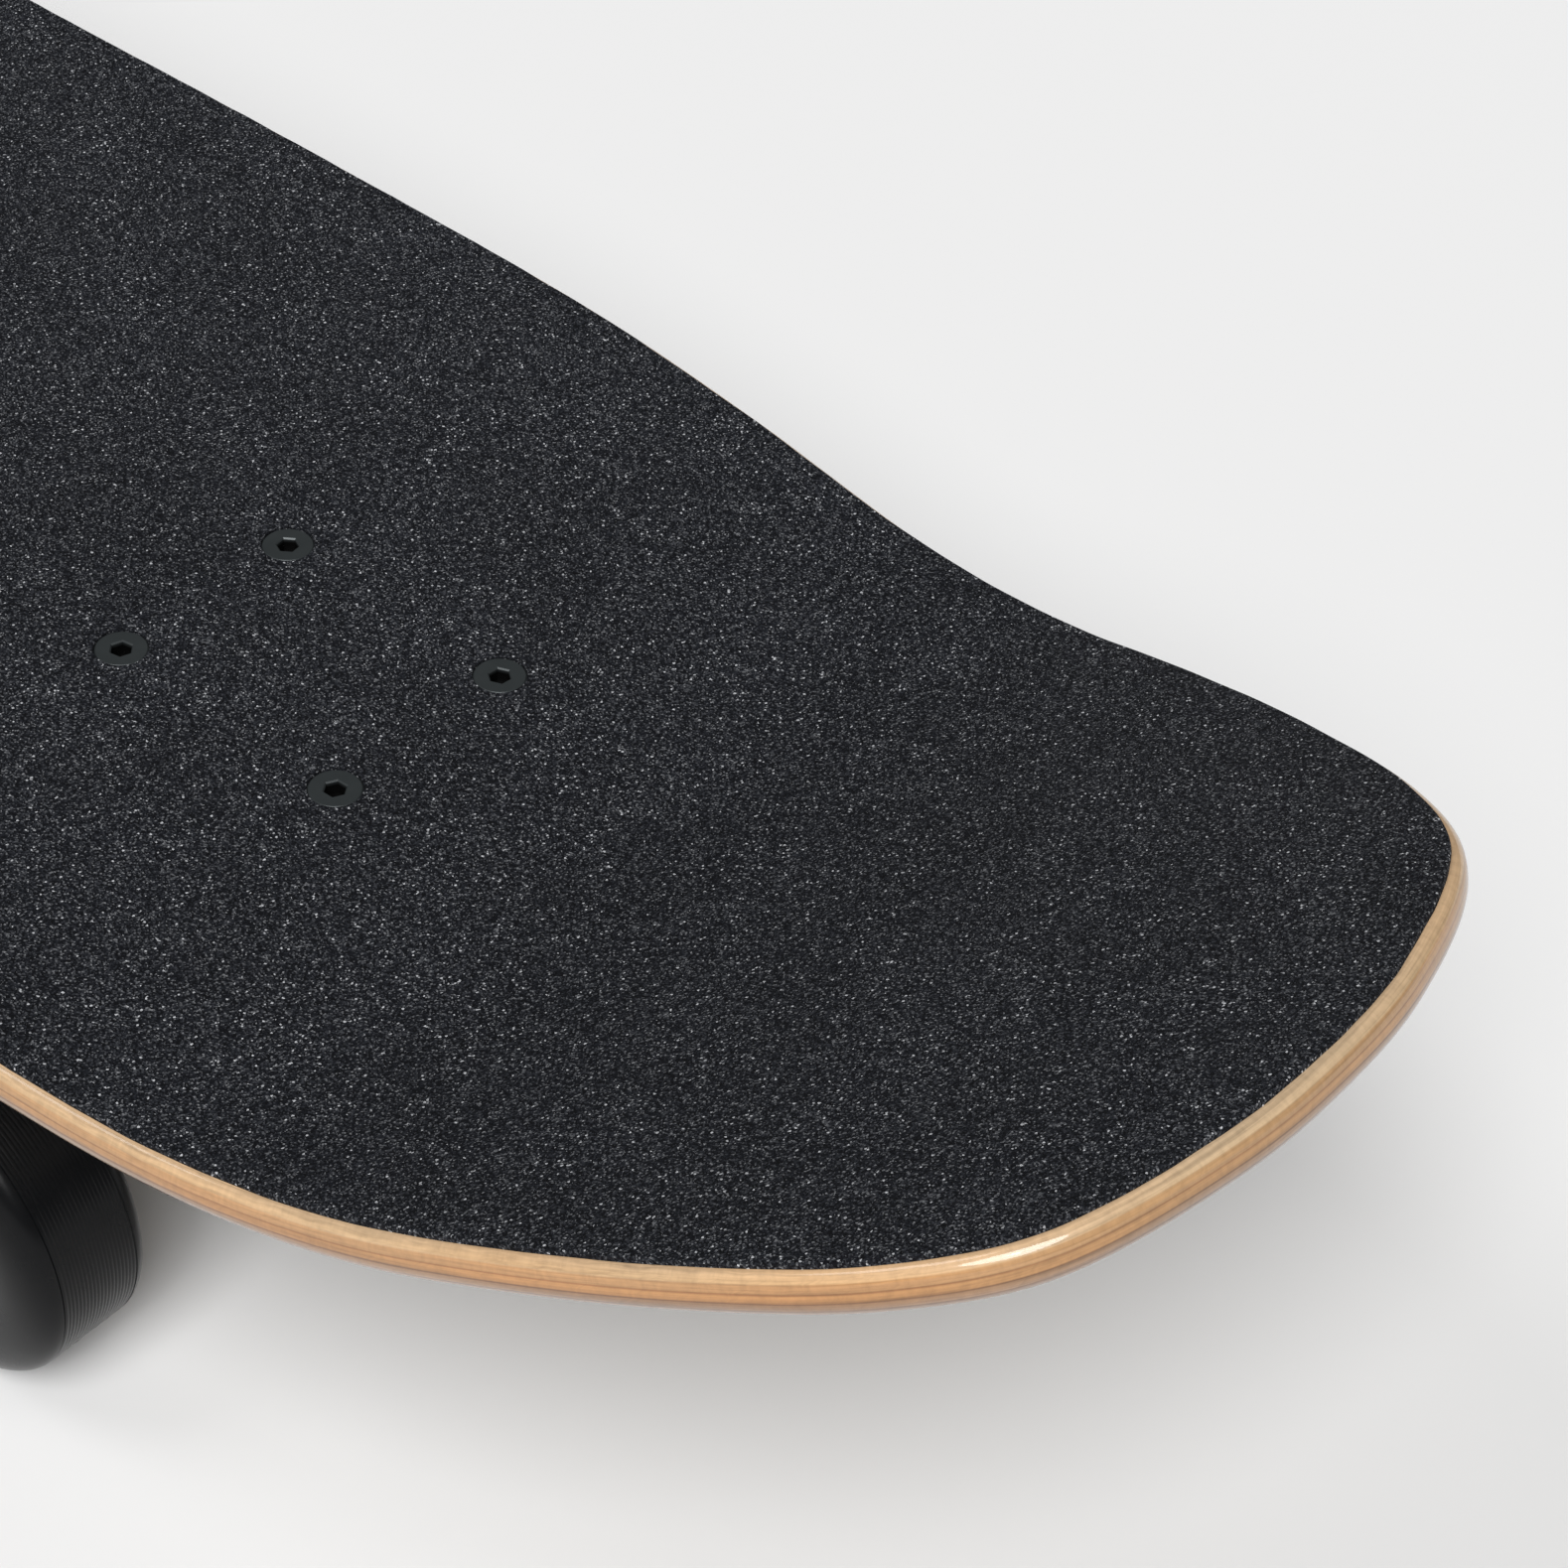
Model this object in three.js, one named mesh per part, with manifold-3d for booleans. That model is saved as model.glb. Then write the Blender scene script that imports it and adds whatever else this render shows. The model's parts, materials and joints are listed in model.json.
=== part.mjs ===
// Electric skateboard: seven-ply kicked deck, two kingpin trucks, plain wheels on the front truck,
// two hub motors on the rear truck, and a battery and controller case under the middle of the deck.
// Millimetres, +X to the nose, +Y to the rider's left, +Z up, floor at z = 0.

import * as THREE from 'three';
import { mergeVertices } from 'three/addons/utils/BufferGeometryUtils.js';
import Module from 'manifold-3d';

const wasm = await Module();
wasm.setup();

// ---------------------------------------------------------------- driving dimensions

const GAP = 0.3; // clearance between pieces that touch
const degrees = Math.PI / 180;

// deck
const WHEELBASE = 422.3; // between the centres of the two truck bolt patterns
const NOSE_REACH = 210; // bolt-pattern centre to the tip of the grip tape
const TAIL_REACH = 205;
const MIDDLE_HALF_WIDTH = 112;
const DECK_THICKNESS = 9.5;
const GRIP_THICKNESS = 0.8;
const KICK_START = 45.8; // where the kick begins, beyond the bolt-pattern centre
const KICK_RADIUS = 179;
const KICK_ANGLE = 22 * degrees;
const DISH_MIDDLE = 4.9; // rise of the deck's edge above its middle
const DISH_TIP = -2.9; // the same on the kicks, where the edge falls away
const DISH_FADE_START = 20; // beyond the bolt-pattern centre
const DISH_FADE_LENGTH = 150;
const FLAT_HALF_WIDTH = 18; // flat strip along the middle of the deck
const GRIP_TOP = 101; // height of the standing surface

// Half outline of the nose: [distance beyond the bolt-pattern centre, half width].
const NOSE_OUTLINE = [
  [-110, 112.5], [-30, 111], [30, 104.5], [80, 98], [120, 90.5],
  [155, 80], [182, 67.5], [198, 53], [208, 23.5], [NOSE_REACH, 0],
];
const DECK_COLUMNS = 32;
const DECK_ROWS = [-1, -0.62, -0.16, 0.16, 0.62, 1]; // across the deck, as shares of the half width
const END_CROWDING = 0.6; // how much closer together the columns are at the ends

// mounting bolts
const BOLT_SPACING_X = 53.98;
const BOLT_SPACING_Y = 41.28;
const BOLT_RADIUS = 2.4;
const BOLT_HEAD_RADIUS = 4.9;
const BOLT_HEAD_HEIGHT = 3;
const BOLT_HEAD_RIM = 0.4;
const BOLT_LENGTH = 32;
const BOLT_SOCKET_RADIUS = 2.3;

// trucks, measured from the axle's centre: [outwards to the board's end, up]
const PLATE_LENGTH = 86;
const PLATE_WIDTH = 56;
const PLATE_THICKNESS = 5.5;
const PLATE_SHIFT = 1; // the plate's middle, beyond the bolt pattern's
const RISER_MARGIN = 1; // how far the riser pad shows round the plate
const RISER_THICKNESS = 3;
const WHEEL_RADIUS = 35;
const PIVOT = [29, 35.3]; // centre of the pivot ball
const PIVOT_STEM_ANGLE = 50 * degrees;
const PIVOT_BALL_RADIUS = 6;
const RING_CENTRE = [-18.5, 15]; // where the kingpin passes the hanger
const KINGPIN_TILT = 25 * degrees;
const KINGPIN_RADIUS = 4.76;
const FRONT_HANGER_HALF = 74.7;
const REAR_HANGER_HALF = 57;
const FRONT_AXLE_RADIUS = 4;
const REAR_AXLE_RADIUS = 5;
const AXLE_THREAD_RADIUS = 4;
const AXLE_HALF = 109.5;
const NUT_INNER_FACE = 101.3; // distance of the axle nut from the middle of the board

// wheels
const FRONT_WHEEL_CENTRE = 87.8;
const REAR_WHEEL_CENTRE = 82;
const TREAD_HALF = 8.1;
const LIP_DEPTH = 5.6;
const LIP_HEIGHT = 11.3;
const WHEEL_FACETS = 24;
const BEARING_RADIUS = 11;
const BEARING_WIDTH = 7;
const BEARING_SPACING = 10;

// case under the deck
const CASE_LENGTH = 250;
const CASE_WIDTH = 150;
const CASE_BOTTOM = 59;
const CASE_WALL = 3;
const CASE_CHAMFER = 4;
const CASE_FLANGE = 10;
const CASE_CORNER = 18;
const FLANGE_THICKNESS = 3.5; // at the middle of the board; the rim follows the deck above it
const PORT_X = 75;
const BUTTON_X = 45;
const PORT_HEIGHT = 70;
const PORT_RADIUS = 8;
const BUTTON_RADIUS = 6;
const CABLE_RADIUS = 3.5;

// heights that follow
const DECK_TOP = GRIP_TOP - GRIP_THICKNESS - GAP;
const DECK_BOTTOM = DECK_TOP - DECK_THICKNESS;
const RISER_TOP = DECK_BOTTOM - GAP;
const BASEPLATE_TOP = RISER_TOP - RISER_THICKNESS - GAP;
const TRUCK_HEIGHT = BASEPLATE_TOP - WHEEL_RADIUS;

// ---------------------------------------------------------------- materials

const material = (color, roughness, metalness = 0) =>
  new THREE.MeshStandardMaterial({ color, roughness, metalness });

const maple = material(0xc79a6b, 0.35);
const grip = material(0x1c1f22, 0.95);
const blackRubber = material(0x161616, 0.7);
const castMetal = material(0x8e9194, 0.4, 0.9);
const steel = material(0xa9abad, 0.3, 1);
const blackSteel = material(0x1d2224, 0.45, 0.8);
const urethane = material(0x111213, 0.35);
const bushingUrethane = material(0x23272b, 0.5);
const blackAluminium = material(0x232527, 0.4, 0.8);
const copper = material(0x9b5a33, 0.4, 0.9);
const casePlastic = material(0x1a1b1c, 0.55);
const wrap = material(0x2c4f78, 0.4);

// ---------------------------------------------------------------- solids

// One closed surface with shared corners, no slivers of zero area, and its faces pointing out.
function closed(geometry) {
  const bare = new THREE.BufferGeometry();
  bare.setAttribute('position', geometry.getAttribute('position').clone());
  bare.setIndex(geometry.index ? geometry.index.clone() : null);
  const merged = mergeVertices(bare, 1e-4);
  const position = merged.getAttribute('position');
  const corner = (i) => new THREE.Vector3().fromBufferAttribute(position, i);
  const triangles = [];
  let volume = 0;
  for (let i = 0; i < merged.index.count; i += 3) {
    const [a, b, c] = [0, 1, 2].map((k) => merged.index.getX(i + k));
    if (a === b || b === c || c === a) continue;
    triangles.push([a, b, c]);
    volume += corner(a).dot(corner(b).cross(corner(c)));
  }
  if (volume < 0) triangles.forEach((triangle) => triangle.reverse());
  merged.setIndex(triangles.flat());
  return merged;
}

function toSolid(geometry) {
  const surface = closed(geometry);
  const vertProperties = new Float32Array(surface.getAttribute('position').array);
  const triVerts = new Uint32Array(surface.index.array);
  return new wasm.Manifold(new wasm.Mesh({ numProp: 3, vertProperties, triVerts }));
}

function toGeometry(solid) {
  const mesh = solid.getMesh();
  const geometry = new THREE.BufferGeometry();
  geometry.setAttribute('position', new THREE.BufferAttribute(new Float32Array(mesh.vertProperties), 3));
  geometry.setIndex(Array.from(mesh.triVerts));
  return geometry;
}

const join = (...pieces) => toGeometry(pieces.map(toSolid).reduce((all, next) => all.add(next)));

const cut = (body, ...tools) =>
  toGeometry(tools.map(toSolid).reduce((left, tool) => left.subtract(tool), toSolid(body)));

const keepInside = (body, region) => toGeometry(toSolid(body).intersect(toSolid(region)));

// ---------------------------------------------------------------- shapes

const Y_AXIS = new THREE.Vector3(0, 1, 0);

const vector = (x, y, z) => new THREE.Vector3(x, y, z);

// A copy of the geometry with its +Y axis turned to point along a direction, then moved to an origin.
function aimed(geometry, origin, direction) {
  const turn = new THREE.Quaternion().setFromUnitVectors(Y_AXIS, direction.clone().normalize());
  return geometry.clone().applyQuaternion(turn).translate(origin.x, origin.y, origin.z);
}

function rod(from, to, startRadius, endRadius = startRadius, sides = 12) {
  const direction = to.clone().sub(from);
  const length = direction.length();
  const shape = new THREE.CylinderGeometry(endRadius, startRadius, length, sides).translate(0, length / 2, 0);
  return aimed(shape, from, direction);
}

// A body of revolution about Y. The profile lists [radius, distance along Y] and closes on itself.
// One facet always faces straight down, so a wheel stands on a flat.
function turned(profile, facets = 12) {
  const points = [...profile, profile[0]].map(([r, y]) => new THREE.Vector2(r, y));
  return new THREE.LatheGeometry(points, facets, Math.PI / facets);
}

const sleeve = (inner, outer, from, to, facets) =>
  turned([[inner, from], [outer, from], [outer, to], [inner, to]], facets);

function hexagon(acrossFlats, from, to) {
  const radius = acrossFlats / Math.sqrt(3);
  return new THREE.CylinderGeometry(radius, radius, to - from, 6).translate(0, (from + to) / 2, 0);
}

const nut = (acrossFlats, hole, from, to) =>
  cut(hexagon(acrossFlats, from, to), rod(vector(0, from - 1, 0), vector(0, to + 1, 0), hole));

function roundedRectangle(length, width, corner) {
  const [x, y] = [length / 2, width / 2];
  const shape = new THREE.Shape();
  shape.moveTo(x, -y + corner);
  shape.absarc(x - corner, y - corner, corner, 0, Math.PI / 2);
  shape.absarc(-x + corner, y - corner, corner, Math.PI / 2, Math.PI);
  shape.absarc(-x + corner, -y + corner, corner, Math.PI, 1.5 * Math.PI);
  shape.absarc(x - corner, -y + corner, corner, 1.5 * Math.PI, 2 * Math.PI);
  return shape;
}

function roundHole(x, y, radius, sides = 8) {
  const corners = Array.from({ length: sides }, (_, i) => (2 * Math.PI * i) / sides);
  return new THREE.Path(
    corners.map((a) => new THREE.Vector2(x + radius * Math.cos(a), y + radius * Math.sin(a))));
}

function plate(shape, bottom, top, curveSegments = 2) {
  const options = { depth: top - bottom, bevelEnabled: false, curveSegments };
  return new THREE.ExtrudeGeometry(shape, options).translate(0, 0, bottom);
}

// A closed outline of [along, up] points, thickened equally to both sides of the XZ plane.
function rib(outline, thickness) {
  const shape = new THREE.Shape(outline.map(([x, z]) => new THREE.Vector2(x, z)));
  const options = { depth: thickness, bevelEnabled: false };
  return new THREE.ExtrudeGeometry(shape, options).translate(0, 0, -thickness / 2).rotateX(Math.PI / 2);
}

const boltCentres = () =>
  [-1, 1].flatMap((i) => [-1, 1].map((j) => [(i * BOLT_SPACING_X) / 2, (j * BOLT_SPACING_Y) / 2]));

// ---------------------------------------------------------------- deck surface

function kickHeight(run) {
  const past = Math.max(0, run - KICK_START);
  const arcRun = KICK_RADIUS * Math.sin(KICK_ANGLE);
  if (past < arcRun) return KICK_RADIUS - Math.sqrt(KICK_RADIUS ** 2 - past ** 2);
  return KICK_RADIUS * (1 - Math.cos(KICK_ANGLE)) + (past - arcRun) * Math.tan(KICK_ANGLE);
}

function deckHeight(x, y) {
  const run = Math.abs(x) - WHEELBASE / 2;
  const fade = THREE.MathUtils.clamp((run - DISH_FADE_START) / DISH_FADE_LENGTH, 0, 1);
  const dish = DISH_MIDDLE + (DISH_TIP - DISH_MIDDLE) * fade;
  const off = Math.max(0, Math.abs(y) - FLAT_HALF_WIDTH) / (MIDDLE_HALF_WIDTH - FLAT_HALF_WIDTH);
  return DECK_TOP + kickHeight(run) + dish * off * off;
}

// The point at a depth below the deck's top surface, square to it.
function deckPoint(x, y, depth) {
  const step = 0.5;
  const slopeX = (deckHeight(x + step, y) - deckHeight(x - step, y)) / (2 * step);
  const slopeY = (deckHeight(x, y + step) - deckHeight(x, y - step)) / (2 * step);
  const normal = vector(-slopeX, -slopeY, 1).normalize();
  return vector(x, y, deckHeight(x, y)).addScaledVector(normal, -depth);
}

// Points along the rider's-left edge of the deck, from the tail's tip to the nose's tip, closer
// together where the ends curve.
function deckEdge() {
  const nose = NOSE_OUTLINE.map(([x, w]) => [x + WHEELBASE / 2, w]);
  const tail = NOSE_OUTLINE.map(([x, w]) => [x > 0 ? (x * TAIL_REACH) / NOSE_REACH : x, w])
    .map(([x, w]) => [-x - WHEELBASE / 2, w]);
  const left = [...nose.reverse(), [0, MIDDLE_HALF_WIDTH], ...tail];
  const right = left.slice(1, -1).reverse().map(([x, w]) => [x, -w]);
  const points = [...left, ...right].map(([x, w]) => vector(x, w, 0));
  const curve = new THREE.CatmullRomCurve3(points, true, 'centripetal');
  curve.arcLengthDivisions = 2000;
  const edge = [];
  for (let i = 0; i <= DECK_COLUMNS; i += 1) {
    const t = i / DECK_COLUMNS;
    const eased = t - (END_CROWDING * Math.sin(2 * Math.PI * t)) / (2 * Math.PI);
    edge.push(curve.getPointAt(0.5 - 0.5 * eased));
  }
  edge[0].y = 0;
  edge[DECK_COLUMNS].y = 0;
  return edge;
}

// A closed sheet that follows the deck's surface. The profile of its edge lists
// [distance outside the outline, depth below the deck's top] from the upper face to the lower.
function deckSlab(profile) {
  const edge = deckEdge();
  const last = DECK_COLUMNS;
  const loop = [...edge, ...edge.slice(1, last).reverse().map((p) => vector(p.x, -p.y, 0))];
  const count = loop.length;
  const vertices = [];
  const add = (point) => vertices.push(point) - 1;

  const outwards = loop.map((point, m) => {
    const tangent = loop[(m + 1) % count].clone().sub(loop[(m - 1 + count) % count]);
    return vector(-tangent.y, tangent.x, 0).normalize();
  });
  const outlines = profile.map(([out]) =>
    loop.map((point, m) => point.clone().addScaledVector(outwards[m], out)));
  const rings = profile.map(([, depth], k) =>
    outlines[k].map((point) => add(deckPoint(point.x, point.y, depth))));

  const triangles = [];
  for (let k = 0; k + 1 < rings.length; k += 1) {
    for (let m = 0; m < count; m += 1) {
      const [a, b] = [rings[k][m], rings[k][(m + 1) % count]];
      const [c, d] = [rings[k + 1][m], rings[k + 1][(m + 1) % count]];
      triangles.push([a, b, c], [b, d, c]);
    }
  }

  const rows = DECK_ROWS.length;
  for (const upper of [true, false]) {
    const face = upper ? 0 : profile.length - 1;
    const ring = rings[face];
    const columns = edge.map((_, i) => {
      const { x, y } = outlines[face][i];
      if (i === 0 || i === last) return new Array(rows).fill(ring[i]);
      return DECK_ROWS.map((v, j) => {
        if (j === rows - 1) return ring[i];
        if (j === 0) return ring[count - i];
        return add(deckPoint(x, y * v, profile[face][1]));
      });
    });
    for (let i = 0; i < last; i += 1) {
      for (let j = 0; j + 1 < rows; j += 1) {
        const [a, b, c, d] = [columns[i][j], columns[i + 1][j], columns[i + 1][j + 1], columns[i][j + 1]];
        const pair = [[a, b, c], [a, c, d]];
        triangles.push(...(upper ? pair : pair.map((triangle) => triangle.reverse())));
      }
    }
  }

  const geometry = new THREE.BufferGeometry();
  geometry.setAttribute('position', new THREE.Float32BufferAttribute(vertices.flatMap((p) => p.toArray()), 3));
  geometry.setIndex(triangles.flat());
  return geometry;
}

// ---------------------------------------------------------------- assembly helpers

const skateboard = new THREE.Group();
skateboard.position.x = (TAIL_REACH - NOSE_REACH) / 2;

function addPiece(parent, name, geometry, look) {
  const mesh = new THREE.Mesh(closed(geometry), look);
  mesh.name = name;
  mesh.geometry.computeVertexNormals();
  parent.add(mesh);
  return mesh;
}

const ENDS = [
  { name: 'front', side: 1, hangerHalf: FRONT_HANGER_HALF, axleRadius: FRONT_AXLE_RADIUS },
  { name: 'rear', side: -1, hangerHalf: REAR_HANGER_HALF, axleRadius: REAR_AXLE_RADIUS },
];

// Through holes for the four bolts of each truck, with room for the bolt heads from a given height.
function boltCutters(headTop, bottom) {
  const radius = BOLT_RADIUS + GAP;
  const headRadius = BOLT_HEAD_RADIUS + GAP;
  return ENDS.flatMap(({ side }) => boltCentres().map(([x, y]) => {
    const centre = (side * WHEELBASE) / 2 + x;
    const profile = [
      [0, bottom], [radius, bottom], [radius, headTop - BOLT_HEAD_HEIGHT],
      [headRadius, headTop - BOLT_HEAD_RIM], [headRadius, headTop + 2], [0, headTop + 2],
    ];
    return turned(profile, 8).rotateX(Math.PI / 2).translate(centre, y, 0);
  }));
}

// ---------------------------------------------------------------- deck and grip tape

// The edge is rounded a little above and more below.
const DECK_EDGE_PROFILE = [[0, 0], [1.3, 0.7], [1.9, 2.6], [1.9, 3.9], [0.3, 7.8], [-3.6, DECK_THICKNESS]];
const headTop = GRIP_TOP - 0.2;

addPiece(skateboard, 'deck', cut(deckSlab(DECK_EDGE_PROFILE), ...boltCutters(headTop, DECK_BOTTOM - 5)), maple);

const gripProfile = [[-0.2, -GAP - GRIP_THICKNESS], [-0.2, -GAP]];
addPiece(skateboard, 'grip_tape', cut(deckSlab(gripProfile), ...boltCutters(headTop, DECK_BOTTOM)), grip);

// ---------------------------------------------------------------- risers and mounting bolts

function riserPad() {
  const shape = roundedRectangle(PLATE_LENGTH + 2 * RISER_MARGIN, PLATE_WIDTH + 2 * RISER_MARGIN, 6);
  for (const [x, y] of boltCentres()) {
    shape.holes.push(roundHole(x, y, BOLT_RADIUS + GAP));
  }
  return plate(shape, RISER_TOP - RISER_THICKNESS, RISER_TOP);
}

function mountingBolt() {
  const body = turned([
    [0, -BOLT_LENGTH], [BOLT_RADIUS, -BOLT_LENGTH], [BOLT_RADIUS, -BOLT_HEAD_HEIGHT],
    [BOLT_HEAD_RADIUS, -BOLT_HEAD_RIM], [BOLT_HEAD_RADIUS, 0], [0, 0],
  ], 8);
  const socket = rod(vector(0, -2.4, 0), vector(0, 1, 0), BOLT_SOCKET_RADIUS, BOLT_SOCKET_RADIUS, 6);
  return cut(body, socket).rotateX(Math.PI / 2);
}

for (const { name, side } of ENDS) {
  const centre = (side * WHEELBASE) / 2;
  addPiece(skateboard, `${name}_riser_pad`, riserPad(), blackRubber).position.x = centre;
  boltCentres().forEach(([x, y], i) => {
    const bolt = addPiece(skateboard, `${name}_bolt_${i + 1}`, mountingBolt(), blackSteel);
    bolt.position.set(centre + x, y, headTop);
  });
}

// ---------------------------------------------------------------- trucks

const kingpinUp = vector(Math.sin(KINGPIN_TILT), 0, Math.cos(KINGPIN_TILT));
const ringCentre = vector(RING_CENTRE[0], 0, RING_CENTRE[1]);
const ringOutwards = vector(Math.cos(KINGPIN_TILT), 0, -Math.sin(KINGPIN_TILT));
const pivot = vector(PIVOT[0], 0, PIVOT[1]);
const stemUp = vector(Math.cos(PIVOT_STEM_ANGLE), 0, Math.sin(PIVOT_STEM_ANGLE));
const onKingpin = (distance) => ringCentre.clone().addScaledVector(kingpinUp, distance);
const onStem = (distance) => pivot.clone().addScaledVector(stemUp, distance);

// Distances along the kingpin from the middle of the hanger's ring, positive towards the deck.
const RING_HALF = 3.2;
const BOARD_BUSHING = [RING_HALF + GAP, 17.5];
const BOARD_WASHER = [17.8, 19.3];
const SEAT = 19.6;
const HEAD = [27, 32.5];
const ROAD_BUSHING = [-12.5, -RING_HALF - GAP];
const ROAD_WASHER = [-14.3, -12.8];
const KINGPIN_NUT = [-21.1, -14.6];
const KINGPIN_END = -23.5;
const KINGPIN_HEX = 14.3;
const CUP_RADIUS = 8.2;
const CUP_DEPTH = 7.8;

function baseplate() {
  const shape = roundedRectangle(PLATE_LENGTH, PLATE_WIDTH, 7);
  for (const [x, y] of boltCentres()) {
    shape.holes.push(roundHole(x - PLATE_SHIFT, y, BOLT_RADIUS + GAP));
  }
  const flange = plate(shape, TRUCK_HEIGHT - PLATE_THICKNESS, TRUCK_HEIGHT)
    .translate(PLATE_SHIFT, 0, 0);
  const kingpinBoss = rod(onKingpin(SEAT), onKingpin(36), 13, 16);
  const pivotBoss = rod(onStem(0.2), onStem(18), 11, 13);
  const spine = rib([[-14, 46], [-8, 38.5], [6, 38], [18, 40], [30, 41], [34, 46]], 14);
  const room = new THREE.BoxGeometry(200, 200, 60).translate(0, 0, TRUCK_HEIGHT - 30);
  const body = keepInside(join(flange, kingpinBoss, pivotBoss, spine), room);
  return cut(
    body,
    rod(onKingpin(SEAT - 2), onKingpin(HEAD[0]), KINGPIN_RADIUS + GAP),
    rod(onKingpin(HEAD[0] - GAP), onKingpin(48), KINGPIN_HEX / Math.sqrt(3) + GAP),
    rod(onStem(-6), onStem(CUP_DEPTH + GAP), CUP_RADIUS + GAP),
  );
}

function hanger(half, axleRadius) {
  const bore = axleRadius + GAP;
  const housing = turned([
    [0, -half], [bore + 2.2, -half], [bore + 2.6, -half + 4], [8.6, -half + 14], [10.5, -24],
    [10.5, 24], [8.6, half - 14], [bore + 2.6, half - 4], [bore + 2.2, half], [0, half],
  ], 14);
  const ring = rod(onKingpin(-RING_HALF), onKingpin(RING_HALF), 15.5, 15.5, 18);
  const web = new THREE.Shape([
    [-15, 0], [-16, 7], [8 - half, 17], [8 - half, 25], [half - 8, 25], [half - 8, 17], [16, 7], [15, 0],
  ].map(([y, w]) => new THREE.Vector2(y, w)));
  const basis = new THREE.Matrix4().makeBasis(Y_AXIS, ringOutwards, kingpinUp)
    .setPosition(onKingpin(-RING_HALF));
  const webPlate = new THREE.ExtrudeGeometry(web, { depth: 2 * RING_HALF, bevelEnabled: false });
  webPlate.applyMatrix4(basis);
  const stem = rod(onStem(-42), onStem(0), 9.5, 5.2);
  const ball = new THREE.SphereGeometry(PIVOT_BALL_RADIUS, 10, 6).translate(pivot.x, 0, pivot.z);
  return cut(
    join(housing, ring, webPlate, stem, ball),
    rod(vector(0, -half - 1, 0), vector(0, half + 1, 0), bore),
    rod(onKingpin(-9), onKingpin(9), 6.5),
  );
}

// Glands on the inward side of the rear hanger, where the motor cables come out.
const GLAND_Y = 38;
const GLAND_END = -14;

function withCableGlands(body) {
  const glands = [-1, 1].map((j) =>
    rod(vector(-5.5, j * GLAND_Y, 0), vector(GLAND_END, j * GLAND_Y, 0), 6, 5, 10));
  return join(body, ...glands);
}

function kingpin() {
  const shank = rod(vector(0, KINGPIN_END, 0), vector(0, HEAD[0] + 1, 0), KINGPIN_RADIUS);
  return join(shank, hexagon(KINGPIN_HEX, ...HEAD));
}

function pivotCup() {
  const socket = PIVOT_BALL_RADIUS + 2 * GAP;
  const bowl = [0, 30, 60].map((angle) =>
    [socket * Math.sin(angle * degrees), socket * Math.cos(angle * degrees)]);
  return turned([...bowl, [socket, 0], [CUP_RADIUS, 0], [CUP_RADIUS, CUP_DEPTH], [0, CUP_DEPTH]]);
}

function axle(radius) {
  const neck = NUT_INNER_FACE - 0.5;
  return turned([
    [0, -AXLE_HALF], [AXLE_THREAD_RADIUS, -AXLE_HALF], [AXLE_THREAD_RADIUS, -neck], [radius, -neck],
    [radius, neck], [AXLE_THREAD_RADIUS, neck], [AXLE_THREAD_RADIUS, AXLE_HALF], [0, AXLE_HALF],
  ]);
}

const cupWasher = ([from, to]) => sleeve(KINGPIN_RADIUS + GAP, 11.5, from, to);

const trucks = {};
for (const { name, side, hangerHalf, axleRadius } of ENDS) {
  const truck = new THREE.Group();
  truck.position.set((side * WHEELBASE) / 2, 0, WHEEL_RADIUS);
  truck.rotation.z = side > 0 ? 0 : Math.PI;
  skateboard.add(truck);
  trucks[name] = truck;

  addPiece(truck, `${name}_baseplate`, baseplate(), castMetal);
  const cup = addPiece(truck, `${name}_pivot_cup`, pivotCup(), blackRubber);
  cup.position.copy(pivot);
  cup.quaternion.setFromUnitVectors(Y_AXIS, stemUp);

  const stack = new THREE.Group();
  stack.position.copy(ringCentre);
  stack.quaternion.setFromUnitVectors(Y_AXIS, kingpinUp);
  truck.add(stack);
  const hole = KINGPIN_RADIUS + GAP;
  const [boardLow, boardHigh] = BOARD_BUSHING;
  const [roadLow, roadHigh] = ROAD_BUSHING;
  const boardBushing = turned([
    [hole, boardLow], [10.6, boardLow], [11, boardLow + 3],
    [11, boardHigh - 3], [10.6, boardHigh], [hole, boardHigh],
  ]);
  const roadBushing = turned([
    [hole, roadLow], [8.6, roadLow], [10.5, roadHigh - 3], [10.5, roadHigh], [hole, roadHigh],
  ]);
  addPiece(stack, `${name}_kingpin`, kingpin(), blackSteel);
  addPiece(stack, `${name}_board_bushing`, boardBushing, bushingUrethane);
  addPiece(stack, `${name}_road_bushing`, roadBushing, bushingUrethane);
  addPiece(stack, `${name}_board_washer`, cupWasher(BOARD_WASHER), steel);
  addPiece(stack, `${name}_road_washer`, cupWasher(ROAD_WASHER), steel);
  addPiece(stack, `${name}_kingpin_nut`, nut(KINGPIN_HEX, hole, ...KINGPIN_NUT), blackSteel);

  const plainHanger = hanger(hangerHalf, axleRadius);
  addPiece(truck, `${name}_hanger`, name === 'rear' ? withCableGlands(plainHanger) : plainHanger, castMetal);
  addPiece(truck, `${name}_axle`, axle(axleRadius), steel);
}

// ---------------------------------------------------------------- wheels

// Adds both wheels of a truck. Each wheel is drawn with +Y pointing away from the board's middle.
function addWheels(end, centre, fill) {
  for (const [sideName, y] of [['left', 1], ['right', -1]]) {
    const hub = new THREE.Group();
    const facing = trucks[end].rotation.z ? -y : y;
    hub.position.set(0, facing * centre, 0);
    hub.rotation.z = facing > 0 ? 0 : Math.PI;
    trucks[end].add(hub);
    fill(hub, `${end}_${sideName}`);
    const axleNut = nut(12.7, AXLE_THREAD_RADIUS + GAP, NUT_INNER_FACE - centre, NUT_INNER_FACE - centre + 7);
    addPiece(hub, `${end}_${sideName}_axle_nut`, axleNut, steel);
  }
}

const rimRadius = WHEEL_RADIUS / Math.cos(Math.PI / WHEEL_FACETS);

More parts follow.
